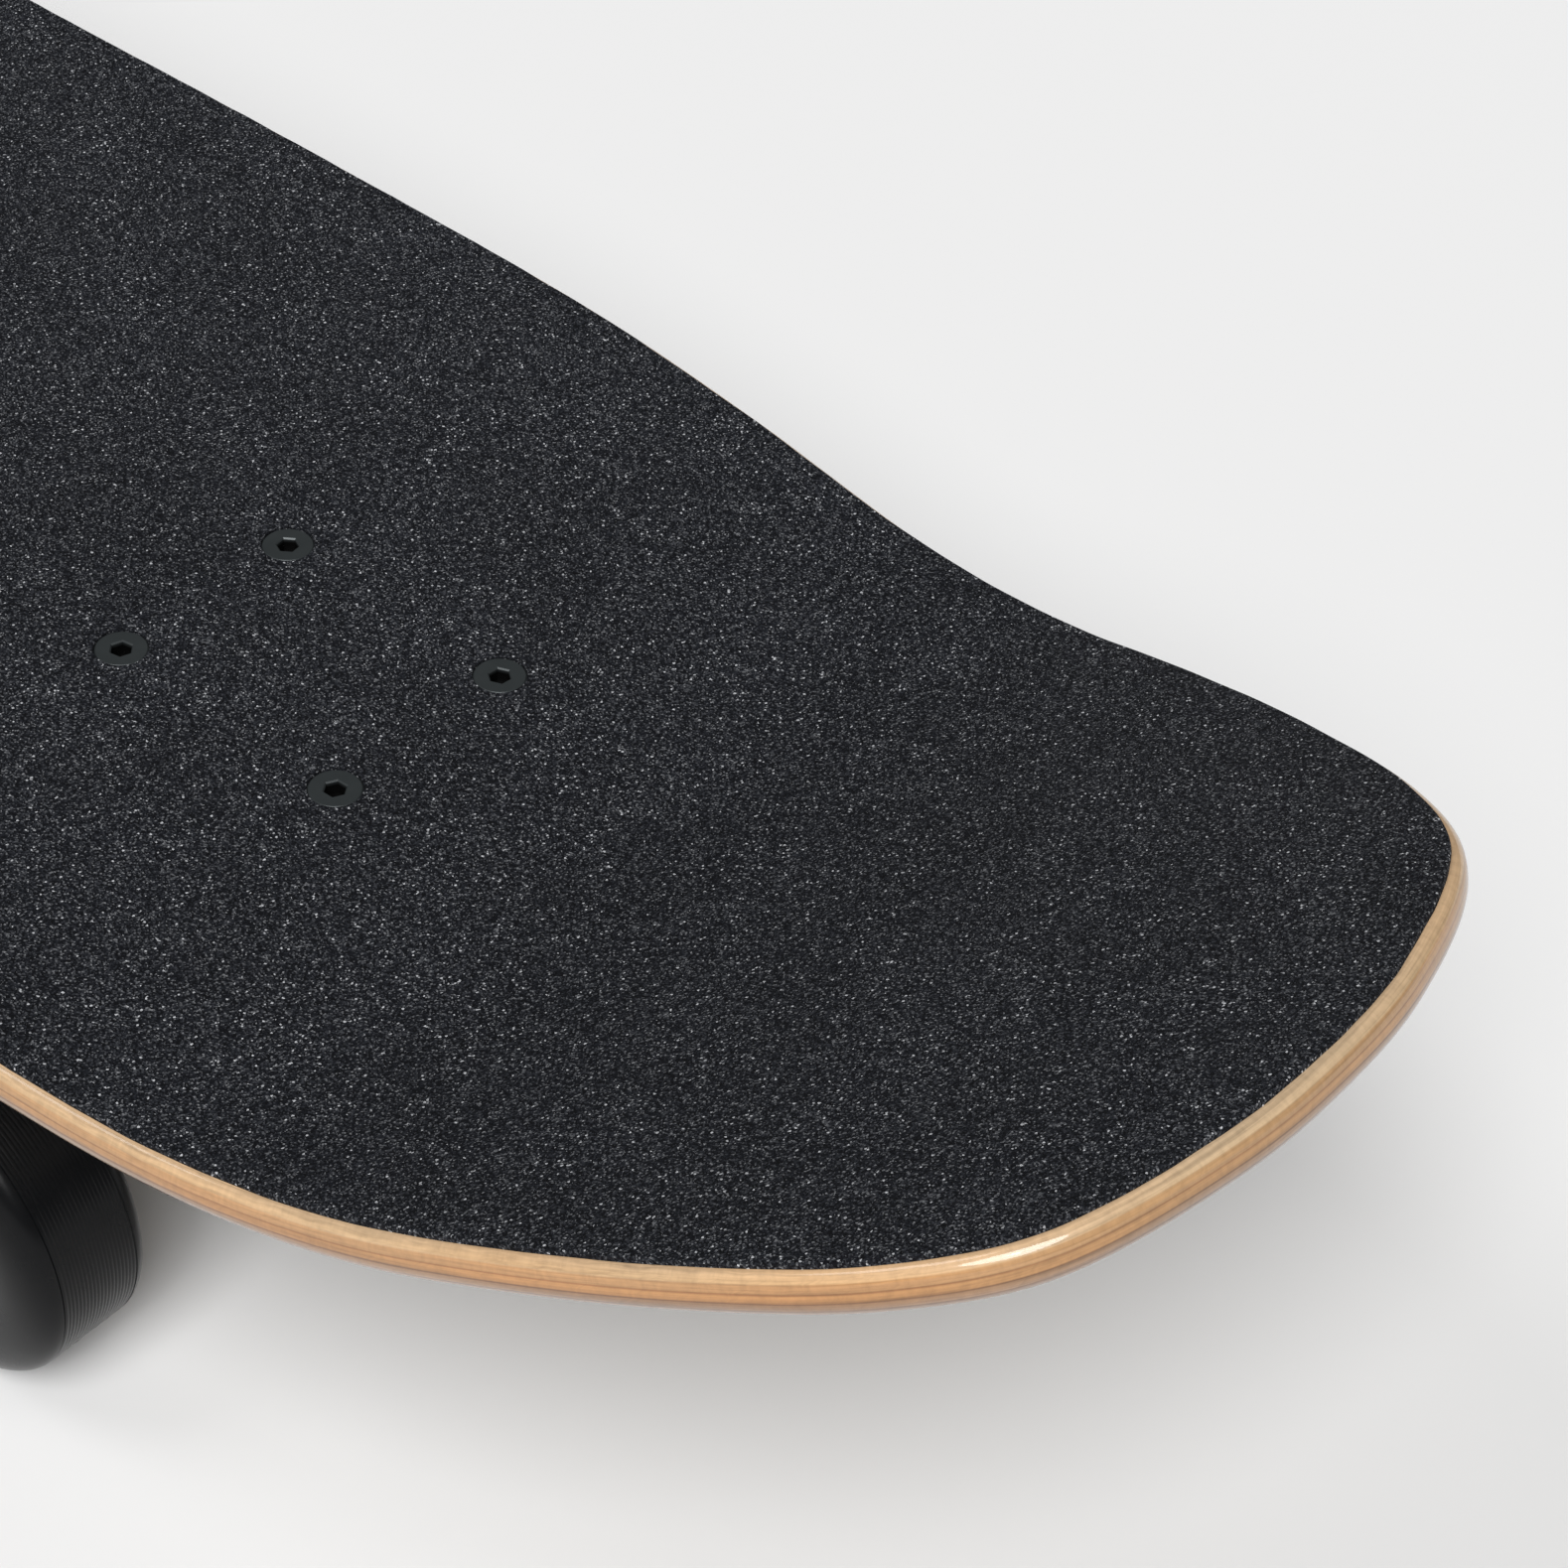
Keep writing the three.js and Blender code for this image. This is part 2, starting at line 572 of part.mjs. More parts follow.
function plainWheel() {
  const seat = BEARING_RADIUS + GAP;
  const shoulder = BEARING_SPACING / 2 - GAP;
  const face = BEARING_SPACING / 2 + BEARING_WIDTH;
  const lip = [0, 45, 90].map((angle) => [
    rimRadius - LIP_HEIGHT + LIP_HEIGHT * Math.sin(angle * degrees),
    TREAD_HALF + LIP_DEPTH * Math.cos(angle * degrees),
  ]);
  const half = [[9, shoulder], [seat, shoulder], [seat, face], [14.5, face + 0.9], ...lip];
  const mirrored = half.map(([r, y]) => [r, -y]).reverse();
  return turned([...half, ...mirrored], WHEEL_FACETS);
}

addWheels('front', FRONT_WHEEL_CENTRE, (hub, name) => {
  const inner = FRONT_AXLE_RADIUS + GAP;
  const start = BEARING_SPACING / 2;
  const end = start + BEARING_WIDTH;
  addPiece(hub, `${name}_wheel`, plainWheel(), urethane);
  addPiece(hub, `${name}_inner_bearing`, sleeve(inner, BEARING_RADIUS, -end, -start), steel);
  addPiece(hub, `${name}_outer_bearing`, sleeve(inner, BEARING_RADIUS, start, end), steel);
  addPiece(hub, `${name}_spacer`, sleeve(inner, 5.8, GAP - start, start - GAP), steel);
});

// hub motor: the tyre, the can and its cover turn; the wound stator is fixed to the axle
const TYRE_HALF = 22.5;
const TYRE_TREAD_HALF = 17;
const CAN_RADIUS = 28;
const CAN_INNER = 24.3;
const CAN_BACK = -20;
const CAN_FACE = 21;
const END_PLATE_INNER = 15.5; // inner side of the can's closed end
const COVER_HOLE = 8.3;
const COVER_THICKNESS = 2.5;
const STATOR_RADIUS = 23.5;
const STATOR_CORE = 13;
const STATOR_HALF = 13;
const STATOR_TEETH = 9;
const NECK_RADIUS = 8;

function hubTyre() {
  const half = [[CAN_RADIUS + GAP, TYRE_HALF], [32.5, TYRE_HALF], [rimRadius, TYRE_TREAD_HALF]];
  return turned([...half, ...half.map(([r, y]) => [r, -y]).reverse()], WHEEL_FACETS);
}

function rotorCan() {
  const bore = REAR_AXLE_RADIUS + GAP;
  return turned([
    [CAN_INNER, CAN_BACK], [CAN_RADIUS, CAN_BACK], [CAN_RADIUS, CAN_FACE], [14, CAN_FACE], [13, CAN_FACE - 2],
    [bore, CAN_FACE - 2], [bore, END_PLATE_INNER], [CAN_INNER, END_PLATE_INNER],
  ], WHEEL_FACETS);
}

function rotorCover() {
  const inner = CAN_BACK - GAP;
  return sleeve(COVER_HOLE, CAN_RADIUS, inner - COVER_THICKNESS, inner, WHEEL_FACETS);
}

function stator() {
  // One tooth's outline, as [radius, share of the angle between teeth].
  const tooth = [
    [STATOR_CORE, -0.36], [19.5, -0.2], [20.5, -0.42], [STATOR_RADIUS, -0.42],
    [STATOR_RADIUS, 0.42], [20.5, 0.42], [19.5, 0.2], [STATOR_CORE, 0.36],
  ];
  const points = [];
  const step = (2 * Math.PI) / STATOR_TEETH;
  for (let i = 0; i < STATOR_TEETH; i += 1) {
    for (const [radius, offset] of tooth) {
      const angle = step * (i + offset);
      points.push(new THREE.Vector2(radius * Math.cos(angle), radius * Math.sin(angle)));
    }
  }
  const core = plate(new THREE.Shape(points), -STATOR_HALF, STATOR_HALF);
  const neckEnd = REAR_HANGER_HALF + GAP - REAR_WHEEL_CENTRE;
  const neck = rod(vector(0, neckEnd, 0), vector(0, 0, 0), NECK_RADIUS);
  const bore = rod(vector(0, neckEnd - 1, 0), vector(0, STATOR_HALF + 1, 0), REAR_AXLE_RADIUS + GAP);
  return cut(join(core.rotateX(Math.PI / 2), neck), bore);
}

addWheels('rear', REAR_WHEEL_CENTRE, (hub, name) => {
  addPiece(hub, `${name}_tyre`, hubTyre(), urethane);
  addPiece(hub, `${name}_rotor_can`, rotorCan(), blackAluminium);
  addPiece(hub, `${name}_rotor_cover`, rotorCover(), blackAluminium);
  addPiece(hub, `${name}_stator`, stator(), copper);
});

// ---------------------------------------------------------------- battery and controller case

const SIDE = -CASE_WIDTH / 2; // outer face of the wall with the button and the charge port

function caseTray() {
  const outline = roundedRectangle(CASE_LENGTH, CASE_WIDTH, CASE_CORNER);
  const tub = plate(outline, CASE_BOTTOM + CASE_CHAMFER, GRIP_TOP, 3);
  const floorOptions = {
    depth: 4, bevelThickness: CASE_CHAMFER, bevelSize: CASE_CHAMFER, bevelOffset: -CASE_CHAMFER,
    bevelSegments: 1, curveSegments: 3,
  };
  const floor = new THREE.ExtrudeGeometry(outline, floorOptions).translate(0, 0, CASE_BOTTOM + CASE_CHAMFER);
  const [rimLength, rimWidth] = [CASE_LENGTH + 2 * CASE_FLANGE, CASE_WIDTH + 2 * CASE_FLANGE];
  const rimOutline = roundedRectangle(rimLength, rimWidth, CASE_CORNER + 8);
  const rim = plate(rimOutline, DECK_BOTTOM - FLANGE_THICKNESS, GRIP_TOP, 3);
  const bezel = rod(vector(BUTTON_X, SIDE + 1, PORT_HEIGHT), vector(BUTTON_X, SIDE - 1.2, PORT_HEIGHT), 8.6);
  const hollow = plate(
    roundedRectangle(CASE_LENGTH - 2 * CASE_WALL, CASE_WIDTH - 2 * CASE_WALL, CASE_CORNER - CASE_WALL),
    CASE_BOTTOM + CASE_WALL, GRIP_TOP + 1, 3);
  const drill = (x, radius) =>
    rod(vector(x, SIDE - 10, PORT_HEIGHT), vector(x, SIDE + 10, PORT_HEIGHT), radius);
  const cableHole = (y) =>
    rod(vector(-CASE_LENGTH / 2 - 5, y, PORT_HEIGHT), vector(-CASE_LENGTH / 2 + 8, y, PORT_HEIGHT),
      CABLE_RADIUS + 2 * GAP);
  return cut(
    join(tub, floor, rim, bezel), hollow, deckSlab([[0, -20], [0, DECK_THICKNESS + GAP]]),
    drill(BUTTON_X, BUTTON_RADIUS + GAP), drill(PORT_X, PORT_RADIUS + GAP),
    cableHole(CABLE_Y), cableHole(-CABLE_Y));
}

// Twelve cylindrical cells, six side by side in each of two rows end to end, in one shrink wrap.
const CELL_RADIUS = 9.3;
const PACK_WIDTH = 130;

function batteryPack() {
  const radius = CELL_RADIUS;
  const cells = 6;
  const shape = new THREE.Shape();
  for (let i = 0; i < cells; i += 1) {
    shape.absarc((2 * i + 1) * radius, 0, radius, Math.PI - 0.35, 0.35, true);
  }
  for (let i = cells - 1; i >= 0; i -= 1) {
    shape.absarc((2 * i + 1) * radius, 0, radius, -0.35, -Math.PI + 0.35, true);
  }
  shape.closePath();
  return new THREE.ExtrudeGeometry(shape, { depth: PACK_WIDTH, bevelEnabled: false, curveSegments: 2 })
    .translate(-cells * radius, 0, -PACK_WIDTH / 2).rotateX(Math.PI / 2);
}

function controller() {
  const fins = [-24, -12, 0, 12, 24].map((y) =>
    new THREE.BoxGeometry(CONTROLLER_LENGTH - 6, 4, 4).translate(0, y, 9.5));
  return join(new THREE.BoxGeometry(CONTROLLER_LENGTH, 62, 16), ...fins);
}

// The port's barrel passes through the wall; its flange and the two ears for the cap are outside.
const CAP_HINGE = [SIDE - 3.4, PORT_HEIGHT + 12.4];

function chargePort() {
  const flange = turned(
    [[0, -9], [PORT_RADIUS, -9], [PORT_RADIUS, GAP], [10.5, GAP], [10.5, 1.8], [0, 1.8]]);
  const socket = rod(vector(0, -7.5, 0), vector(0, 3, 0), 4.6);
  const body = cut(flange, socket).rotateZ(Math.PI).translate(0, SIDE, 0);
  const ears = [-1, 1].map((i) =>
    new THREE.BoxGeometry(1.8, 5, 5.4).translate(i * 5.4, SIDE - 2.9, CAP_HINGE[1] - PORT_HEIGHT - 0.9));
  return join(body, ...ears).translate(PORT_X, 0, PORT_HEIGHT);
}

function chargeCap() {
  const disc = rod(vector(0, SIDE - 2.1, 0), vector(0, SIDE - 4.6, 0), 9.4, 9, 14);
  const tab = new THREE.BoxGeometry(8, 2.4, 4.4).translate(0, SIDE - 3.4, 10.2);
  const knuckle = new THREE.CylinderGeometry(1.6, 1.6, 8.4, 10).rotateZ(Math.PI / 2)
    .translate(0, CAP_HINGE[0], CAP_HINGE[1] - PORT_HEIGHT);
  return join(disc, tab, knuckle).translate(PORT_X, 0, PORT_HEIGHT);
}

function powerButton() {
  const outline = [[0, -4.5], [BUTTON_RADIUS, -4.5], [BUTTON_RADIUS, 1.6], [5.2, 2.4], [0, 2.4]];
  return turned(outline).rotateZ(Math.PI).translate(BUTTON_X, SIDE, PORT_HEIGHT);
}

// Motor cable from the hanger's gland, under slack for the steering, through the case's rear wall to
// the controller. Points are [inwards from the rear axle, height above the axle] with the spread across.
const CABLE_Y = 24;
const CONTROLLER_X = -76;
const CONTROLLER_LENGTH = 66;

function motorCable(across) {
  const route = [
    [GLAND_END - GAP, GLAND_Y, 0], [-24, GLAND_Y, 0.5], [-42, 36, 6], [-56, 31, 19], [-69, 26, 31.5],
    [-80, CABLE_Y, PORT_HEIGHT - WHEEL_RADIUS], [-90, CABLE_Y, PORT_HEIGHT - WHEEL_RADIUS],
    [-WHEELBASE / 2 - CONTROLLER_X + CONTROLLER_LENGTH / 2 + GAP, CABLE_Y, PORT_HEIGHT - WHEEL_RADIUS],
  ];
  const points = route.map(([x, y, z]) => vector(-x - WHEELBASE / 2, across * y, z + WHEEL_RADIUS));
  const path = new THREE.CatmullRomCurve3(points, false, 'centripetal');
  const section = new THREE.Shape(roundHole(0, 0, CABLE_RADIUS).getPoints());
  return new THREE.ExtrudeGeometry(section, { steps: 16, extrudePath: path });
}

addPiece(skateboard, 'case_tray', caseTray(), casePlastic);
addPiece(skateboard, 'battery_pack', batteryPack(), wrap).position.set(50, 0, CASE_BOTTOM + 13.5);
addPiece(skateboard, 'controller', controller(), blackAluminium).position.set(CONTROLLER_X, 0, PORT_HEIGHT);
addPiece(skateboard, 'charge_port', chargePort(), blackSteel);
addPiece(skateboard, 'charge_cap', chargeCap(), blackRubber);
addPiece(skateboard, 'power_button', powerButton(), steel);
addPiece(skateboard, 'left_motor_cable', motorCable(1), blackRubber);
addPiece(skateboard, 'right_motor_cable', motorCable(-1), blackRubber);

export default skateboard;
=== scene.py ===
import json
import math

import bpy
import numpy as np
from mathutils import Matrix, Vector

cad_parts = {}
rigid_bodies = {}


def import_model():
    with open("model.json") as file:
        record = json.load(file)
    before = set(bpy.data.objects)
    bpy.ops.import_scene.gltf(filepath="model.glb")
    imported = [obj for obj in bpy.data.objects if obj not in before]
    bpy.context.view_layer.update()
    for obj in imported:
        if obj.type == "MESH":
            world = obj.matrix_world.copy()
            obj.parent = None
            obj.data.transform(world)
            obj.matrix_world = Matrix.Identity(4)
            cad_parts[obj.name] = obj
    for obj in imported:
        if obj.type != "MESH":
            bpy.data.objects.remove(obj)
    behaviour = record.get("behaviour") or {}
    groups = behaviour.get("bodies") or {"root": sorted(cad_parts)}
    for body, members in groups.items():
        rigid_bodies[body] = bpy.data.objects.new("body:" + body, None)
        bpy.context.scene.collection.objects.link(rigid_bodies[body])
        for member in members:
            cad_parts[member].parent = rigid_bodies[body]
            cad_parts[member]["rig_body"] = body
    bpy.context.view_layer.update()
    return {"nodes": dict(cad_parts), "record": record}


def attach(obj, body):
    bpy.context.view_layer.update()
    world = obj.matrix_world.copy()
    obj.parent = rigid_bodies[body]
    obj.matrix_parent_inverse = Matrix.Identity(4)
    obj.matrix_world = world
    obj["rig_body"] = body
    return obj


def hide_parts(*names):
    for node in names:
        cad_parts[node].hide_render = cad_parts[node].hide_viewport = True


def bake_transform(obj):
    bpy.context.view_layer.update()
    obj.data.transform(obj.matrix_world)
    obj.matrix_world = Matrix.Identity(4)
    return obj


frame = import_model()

# Electric skateboard. Lengths below are millimetres in the frame's axes: +X nose, +Y rider's left, +Z up.
MM = 0.001
GAP = 0.3

# ------------------------------------------------------------------ dimensions shared with the frame

WHEELBASE = 422.3
NOSE_REACH = 210.0
TAIL_REACH = 205.0
BOARD_SHIFT = (TAIL_REACH - NOSE_REACH) / 2  # middle of the wheelbase, from the middle of the length
MIDDLE_HALF_WIDTH = 112.0
DECK_THICKNESS = 9.5
GRIP_THICKNESS = 0.8
KICK_START = 45.8
KICK_RADIUS = 179.0
KICK_ANGLE = math.radians(22)
DISH_MIDDLE = 4.9
DISH_TIP = -2.9
DISH_FADE = (20.0, 150.0)  # its start, past the bolt pattern's centre, and its length
END_CROWDING = 0.6  # how much closer together the deck's columns are at its ends
FLAT_HALF_WIDTH = 18.0
GRIP_TOP = 101.0
NOSE_OUTLINE = [
    (-110, 112.5), (-30, 111), (30, 104.5), (80, 98), (120, 90.5),
    (155, 80), (182, 67.5), (198, 53), (208, 23.5), (NOSE_REACH, 0),
]
BOLT_SPACING = (53.98, 41.28)
WHEEL_RADIUS = 35.0
PIVOT = Vector((29, 0, 35.3))
STEM_ANGLE = math.radians(50)
RING_CENTRE = Vector((-18.5, 0, 15))
KINGPIN_TILT = math.radians(25)
KINGPIN_RADIUS = 4.76
FRONT_WHEEL_CENTRE = 87.8
REAR_WHEEL_CENTRE = 82.0
HANGER_HALF = {"front": 74.7, "rear": 57.0}
AXLE_RADIUS = {"front": 4.0, "rear": 5.0}
AXLE_HALF = 109.5
NUT_FACE = 101.3
CASE_SIZE = (250.0, 150.0)
CASE_BOTTOM = 59.0
CASE_WALL = 3.0
CASE_FLANGE = 10.0
PORT_X = 75.0
BUTTON_X = 45.0
PORT_HEIGHT = 70.0
SIDE = -CASE_SIZE[1] / 2
CABLE_RADIUS = 3.5
CABLE_Y = 24.0
GLAND_Y = 38.0

DECK_TOP = GRIP_TOP - GRIP_THICKNESS - GAP
DECK_BOTTOM = DECK_TOP - DECK_THICKNESS
HEAD_TOP = GRIP_TOP - 0.2  # the truck bolts sit a little below the tape's surface
RISER_TOP = DECK_BOTTOM - GAP
BASEPLATE_TOP = RISER_TOP - 3.0 - GAP
TRUCK_HEIGHT = BASEPLATE_TOP - WHEEL_RADIUS

Y_AXIS = Vector((0, 1, 0))
UPRIGHT = Matrix.Rotation(math.pi / 2, 4, "X")  # turns +Y to +Z
KINGPIN_UP = Vector((math.sin(KINGPIN_TILT), 0, math.cos(KINGPIN_TILT)))
RING_OUT = Vector((math.cos(KINGPIN_TILT), 0, -math.sin(KINGPIN_TILT)))
STEM_UP = Vector((math.cos(STEM_ANGLE), 0, math.sin(STEM_ANGLE)))

# ------------------------------------------------------------------ shapes: (points, faces)


def placed(shape, matrix):
    """The shape, moved by a matrix."""
    points, faces = shape
    m = np.array(matrix)
    return np.asarray(points, float) @ m[:3, :3].T + m[:3, 3], faces


def aim(origin, direction):
    """A matrix that turns +Y to the direction and moves to the origin."""
    turn = Y_AXIS.rotation_difference(Vector(direction).normalized()).to_matrix().to_4x4()
    return Matrix.Translation(Vector(origin)) @ turn


def joined(*shapes):
    points, faces, start = [], [], 0
    for shape_points, shape_faces in shapes:
        points.append(np.asarray(shape_points, float))
        faces += [tuple(i + start for i in face) for face in shape_faces]
        start += len(shape_points)
    return np.vstack(points), faces


def rounded(profile, radius, steps=4, closed=True):
    """Rounds the corners of a [radius, distance] outline, leaving those on the axis."""
    points = [Vector((p[0], p[1], 0)) for p in profile]
    count = len(points)
    out = []
    for i, corner in enumerate(points):
        before, after = points[i - 1], points[(i + 1) % count]
        at_end = not closed and i in (0, count - 1)
        if at_end or corner.x == 0:
            out.append((corner.x, corner.y))
            continue
        to_before, to_after = before - corner, after - corner
        turn = to_before.angle(to_after)
        reach = min(radius / math.tan(turn / 2), 0.45 * to_before.length, 0.45 * to_after.length)
        start = corner + to_before.normalized() * reach
        end = corner + to_after.normalized() * reach
        for k in range(steps + 1):
            t = k / steps
            p = start * (1 - t) ** 2 + corner * 2 * t * (1 - t) + end * t**2
            out.append((p.x, p.y))
    return out


def lathe(profile, sides=96):
    """A body of revolution about Y. The outline closes on itself, or starts and ends on the axis."""
    closed = profile[0][0] > 0
    rings = []
    points = []
    for r, y in profile:
        if r == 0:
            rings.append([len(points)] * sides)
            points.append((0, y, 0))
            continue
        rings.append(list(range(len(points), len(points) + sides)))
        for i in range(sides):
            a = 2 * math.pi * i / sides
            points.append((r * math.sin(a), y, r * math.cos(a)))
    faces = []
    spans = len(rings) if closed else len(rings) - 1
    for k in range(spans):
        low, high = rings[k], rings[(k + 1) % len(rings)]
        for i in range(sides):
            j = (i + 1) % sides
            face = []
            for index in (low[i], low[j], high[j], high[i]):
                if index not in face:
                    face.append(index)
            if len(face) > 2:
                faces.append(tuple(face))
    return np.array(points, float), faces


def soft_lathe(profile, radius=0.3, steps=3, sides=96):
    """A body of revolution with its corners rounded."""
    return lathe(rounded(profile, radius, steps), sides)


def prism(outline, low, high):
    """An [x, y] outline, thickened from one height to the other."""
    count = len(outline)
    points = [(x, y, low) for x, y in outline] + [(x, y, high) for x, y in outline]
    faces = [tuple(range(count))[::-1], tuple(range(count, 2 * count))]
    faces += [(i, (i + 1) % count, count + (i + 1) % count, count + i) for i in range(count)]
    return np.array(points, float), faces


def box_shape(size, centre):
    x, y, z = (s / 2 for s in size)
    return placed(prism([(-x, -y), (x, -y), (x, y), (-x, y)], -z, z), Matrix.Translation(Vector(centre)))


def rounded_rectangle(length, width, corner, steps=10):
    x, y = length / 2 - corner, width / 2 - corner
    outline = []
    for quarter, (cx, cy) in enumerate([(x, y), (-x, y), (-x, -y), (x, -y)]):
        for k in range(steps + 1):
            a = math.pi / 2 * (quarter + k / steps)
            outline.append((cx + corner * math.cos(a), cy + corner * math.sin(a)))
    return outline


def between(start, end, radius, end_radius=None, sides=64):
    start, end = Vector(start), Vector(end)
    length = (end - start).length
    tip = radius if end_radius is None else end_radius
    return placed(lathe([(0, 0), (radius, 0), (tip, length), (0, length)], sides), aim(start, end - start))


def ball(centre, radius, rings=24, sides=48):
    arc = [(radius * math.sin(math.pi * k / rings), -radius * math.cos(math.pi * k / rings))
           for k in range(1, rings)]
    return placed(lathe([(0, -radius), *arc, (0, radius)], sides), Matrix.Translation(Vector(centre)))


def hex_ring(across_flats, y, sides, turn=0.0):
    """Points on a hexagon, evenly spread by angle so that they pair with a circle's."""
    out = []
    for i in range(sides):
        a = 2 * math.pi * i / sides
        off = (a + math.pi / 6) % (math.pi / 3) - math.pi / 6
        r = across_flats / 2 / math.cos(off)
        out.append((r * math.sin(a + turn), y, r * math.cos(a + turn)))
    return out


def circle_ring(radius, y, sides, turn=0.0):
    angles = [2 * math.pi * i / sides + turn for i in range(sides)]
    return [(radius * math.sin(a), y, radius * math.cos(a)) for a in angles]


def lofted(rings, close=False):
    """A skin over rings of equal count, capped at both ends, or closed on itself."""
    sides = len(rings[0])
    points = np.array([p for ring in rings for p in ring], float)
    faces = []
    spans = len(rings) if close else len(rings) - 1
    for k in range(spans):
        low, high = k * sides, (k + 1) % len(rings) * sides
        faces += [(low + i, low + (i + 1) % sides, high + (i + 1) % sides, high + i) for i in range(sides)]
    if not close:
        faces.append(tuple(range(sides))[::-1])
        faces.append(tuple(range((len(rings) - 1) * sides, len(rings) * sides)))
    return points, faces


# ------------------------------------------------------------------ materials

PLY_ATTRIBUTES = ("ply_depth", "edge_run", "edge_out")


class Shader:
    """A Principled material and the few node calls that the looks below are made of."""

    def __init__(self, name, color, roughness, metallic=0.0, **fixed):
        self.material = bpy.data.materials.new(name)
        self.material.use_nodes = True
        self.nodes = self.material.node_tree.nodes
        self.links = self.material.node_tree.links
        self.surface = self.nodes["Principled BSDF"]
        self.surface.inputs["Base Color"].default_value = (*color, 1)
        self.surface.inputs["Roughness"].default_value = roughness
        self.surface.inputs["Metallic"].default_value = metallic
        for key, value in fixed.items():
            self.surface.inputs[key.replace("_", " ").title().replace("Ior", "IOR")].default_value = value
        self.place = self.nodes.new("ShaderNodeTexCoord").outputs["Object"]

    def node(self, kind, **inputs):
        made = self.nodes.new(kind)
        for key, value in inputs.items():
            self.join(value, made.inputs[key.replace("_", " ")])
        return made

    def join(self, value, socket):
        if isinstance(value, bpy.types.NodeSocket):
            self.links.new(value, socket)
        else:
            socket.default_value = value

    def attribute(self, name):
        made = self.nodes.new("ShaderNodeAttribute")
        made.attribute_name = name
        return made.outputs["Fac"]

    def math(self, operation, a, b=0.0, clamp=False):
        made = self.nodes.new("ShaderNodeMath")
        made.operation = operation
        made.use_clamp = clamp
        self.join(a, made.inputs[0])
        self.join(b, made.inputs[1])
        return made.outputs[0]

    def times(self, value, factor):
        return self.math("MULTIPLY", value, factor)

    def vector(self, x, y, z):
        return self.node("ShaderNodeCombineXYZ", X=x, Y=y, Z=z).outputs[0]

    def stretched(self, scale):
        made = self.nodes.new("ShaderNodeMapping")
        self.join(self.place, made.inputs["Vector"])
        made.inputs["Scale"].default_value = scale
        return made.outputs[0]

    def noise(self, scale, detail=3.0, roughness=0.5, vector=None):
        return self.node(
            "ShaderNodeTexNoise", Vector=vector or self.place, Scale=scale, Detail=detail, Roughness=roughness
        ).outputs["Fac"]

    def cells(self, scale, output="Color", vector=None):
        return self.node("ShaderNodeTexVoronoi", Vector=vector or self.place, Scale=scale).outputs[output]

    def cell_value(self, scale, channel):
        """A random value for each cell."""
        return self.node("ShaderNodeSeparateColor", Color=self.cells(scale)).outputs[channel]

    def ramp(self, value, stops):
        made = self.nodes.new("ShaderNodeValToRGB")
        elements = made.color_ramp.elements
        while len(elements) < len(stops):
            elements.new(0.5)
        for element, (at, color) in zip(elements, stops):
            element.position = at
            element.color = (*color, 1) if isinstance(color, tuple) else (color, color, color, 1)
        self.join(value, made.inputs["Fac"])
        return made.outputs["Color"]

    def mix(self, amount, a, b, blend="MIX"):
        made = self.nodes.new("ShaderNodeMix")
        made.data_type = "RGBA"
        made.blend_type = blend
        self.join(amount, made.inputs[0])
        self.join(a if isinstance(a, bpy.types.NodeSocket) else (*a, 1), made.inputs[6])
        self.join(b if isinstance(b, bpy.types.NodeSocket) else (*b, 1), made.inputs[7])
        return made.outputs[2]

    def tinted(self, color, tint, amount=1.0):
        return self.mix(amount, color, tint, "MULTIPLY")

    def mottled(self, color, scale, darker, lighter):
        """The color, wandering between a darker and a lighter shade of itself."""
        shades = [tuple(c * share for c in color) for share in (darker, lighter)]
        return self.mix(self.noise(scale, 4), *shades)

    def spread(self, value, low, high):
        """A 0 to 1 value, spread from low to high."""
        return self.math("ADD", self.times(value, high - low), low)

    def bump(self, height, distance, strength):
        return self.node("ShaderNodeBump", Height=height, Distance=distance, Strength=strength).outputs[0]

    def finish(self, color, roughness=None, normal=None):
        for value, key in ((color, "Base Color"), (roughness, "Roughness"), (normal, "Normal")):
            if value is not None:
                self.links.new(value, self.surface.inputs[key])
        return self.material


def grip_material():
    """Silicon carbide grit in black resin: dull dark grains, with painted glints on a few of them."""
    s = Shader("grip_tape", (0.022, 0.024, 0.029), 0.9, specular_ior_level=0.2)
    value = s.cell_value(3400, 0)
    body = s.ramp(value, [
        (0.0, (0.0006, 0.0008, 0.0016)), (0.35, (0.003, 0.0036, 0.006)), (0.6, (0.0095, 0.011, 0.015)),
        (0.8, (0.028, 0.030, 0.036)), (0.93, (0.075, 0.078, 0.085)), (1.0, (0.18, 0.185, 0.195)),
    ])
    # painted glints: about one cell in a hundred is coloured pale grey, for the sparkle of the grit's facets
    painted_glint = s.ramp(s.cell_value(3000, 1), [(0.0, 0.0), (0.987, 0.0), (0.992, 1.0)])
    body = s.mix(painted_glint, body, (0.5, 0.51, 0.53))
    body = s.tinted(body, s.ramp(s.noise(45, 4), [(0.3, 0.88), (0.7, 1.12)]))
    height = s.math("ADD", s.cells(3400, "Distance"), s.noise(5200, 2))
    rough = s.spread(value, 0.95, 0.7)
    return s.finish(body, rough, s.bump(height, 0.00018, 0.8))


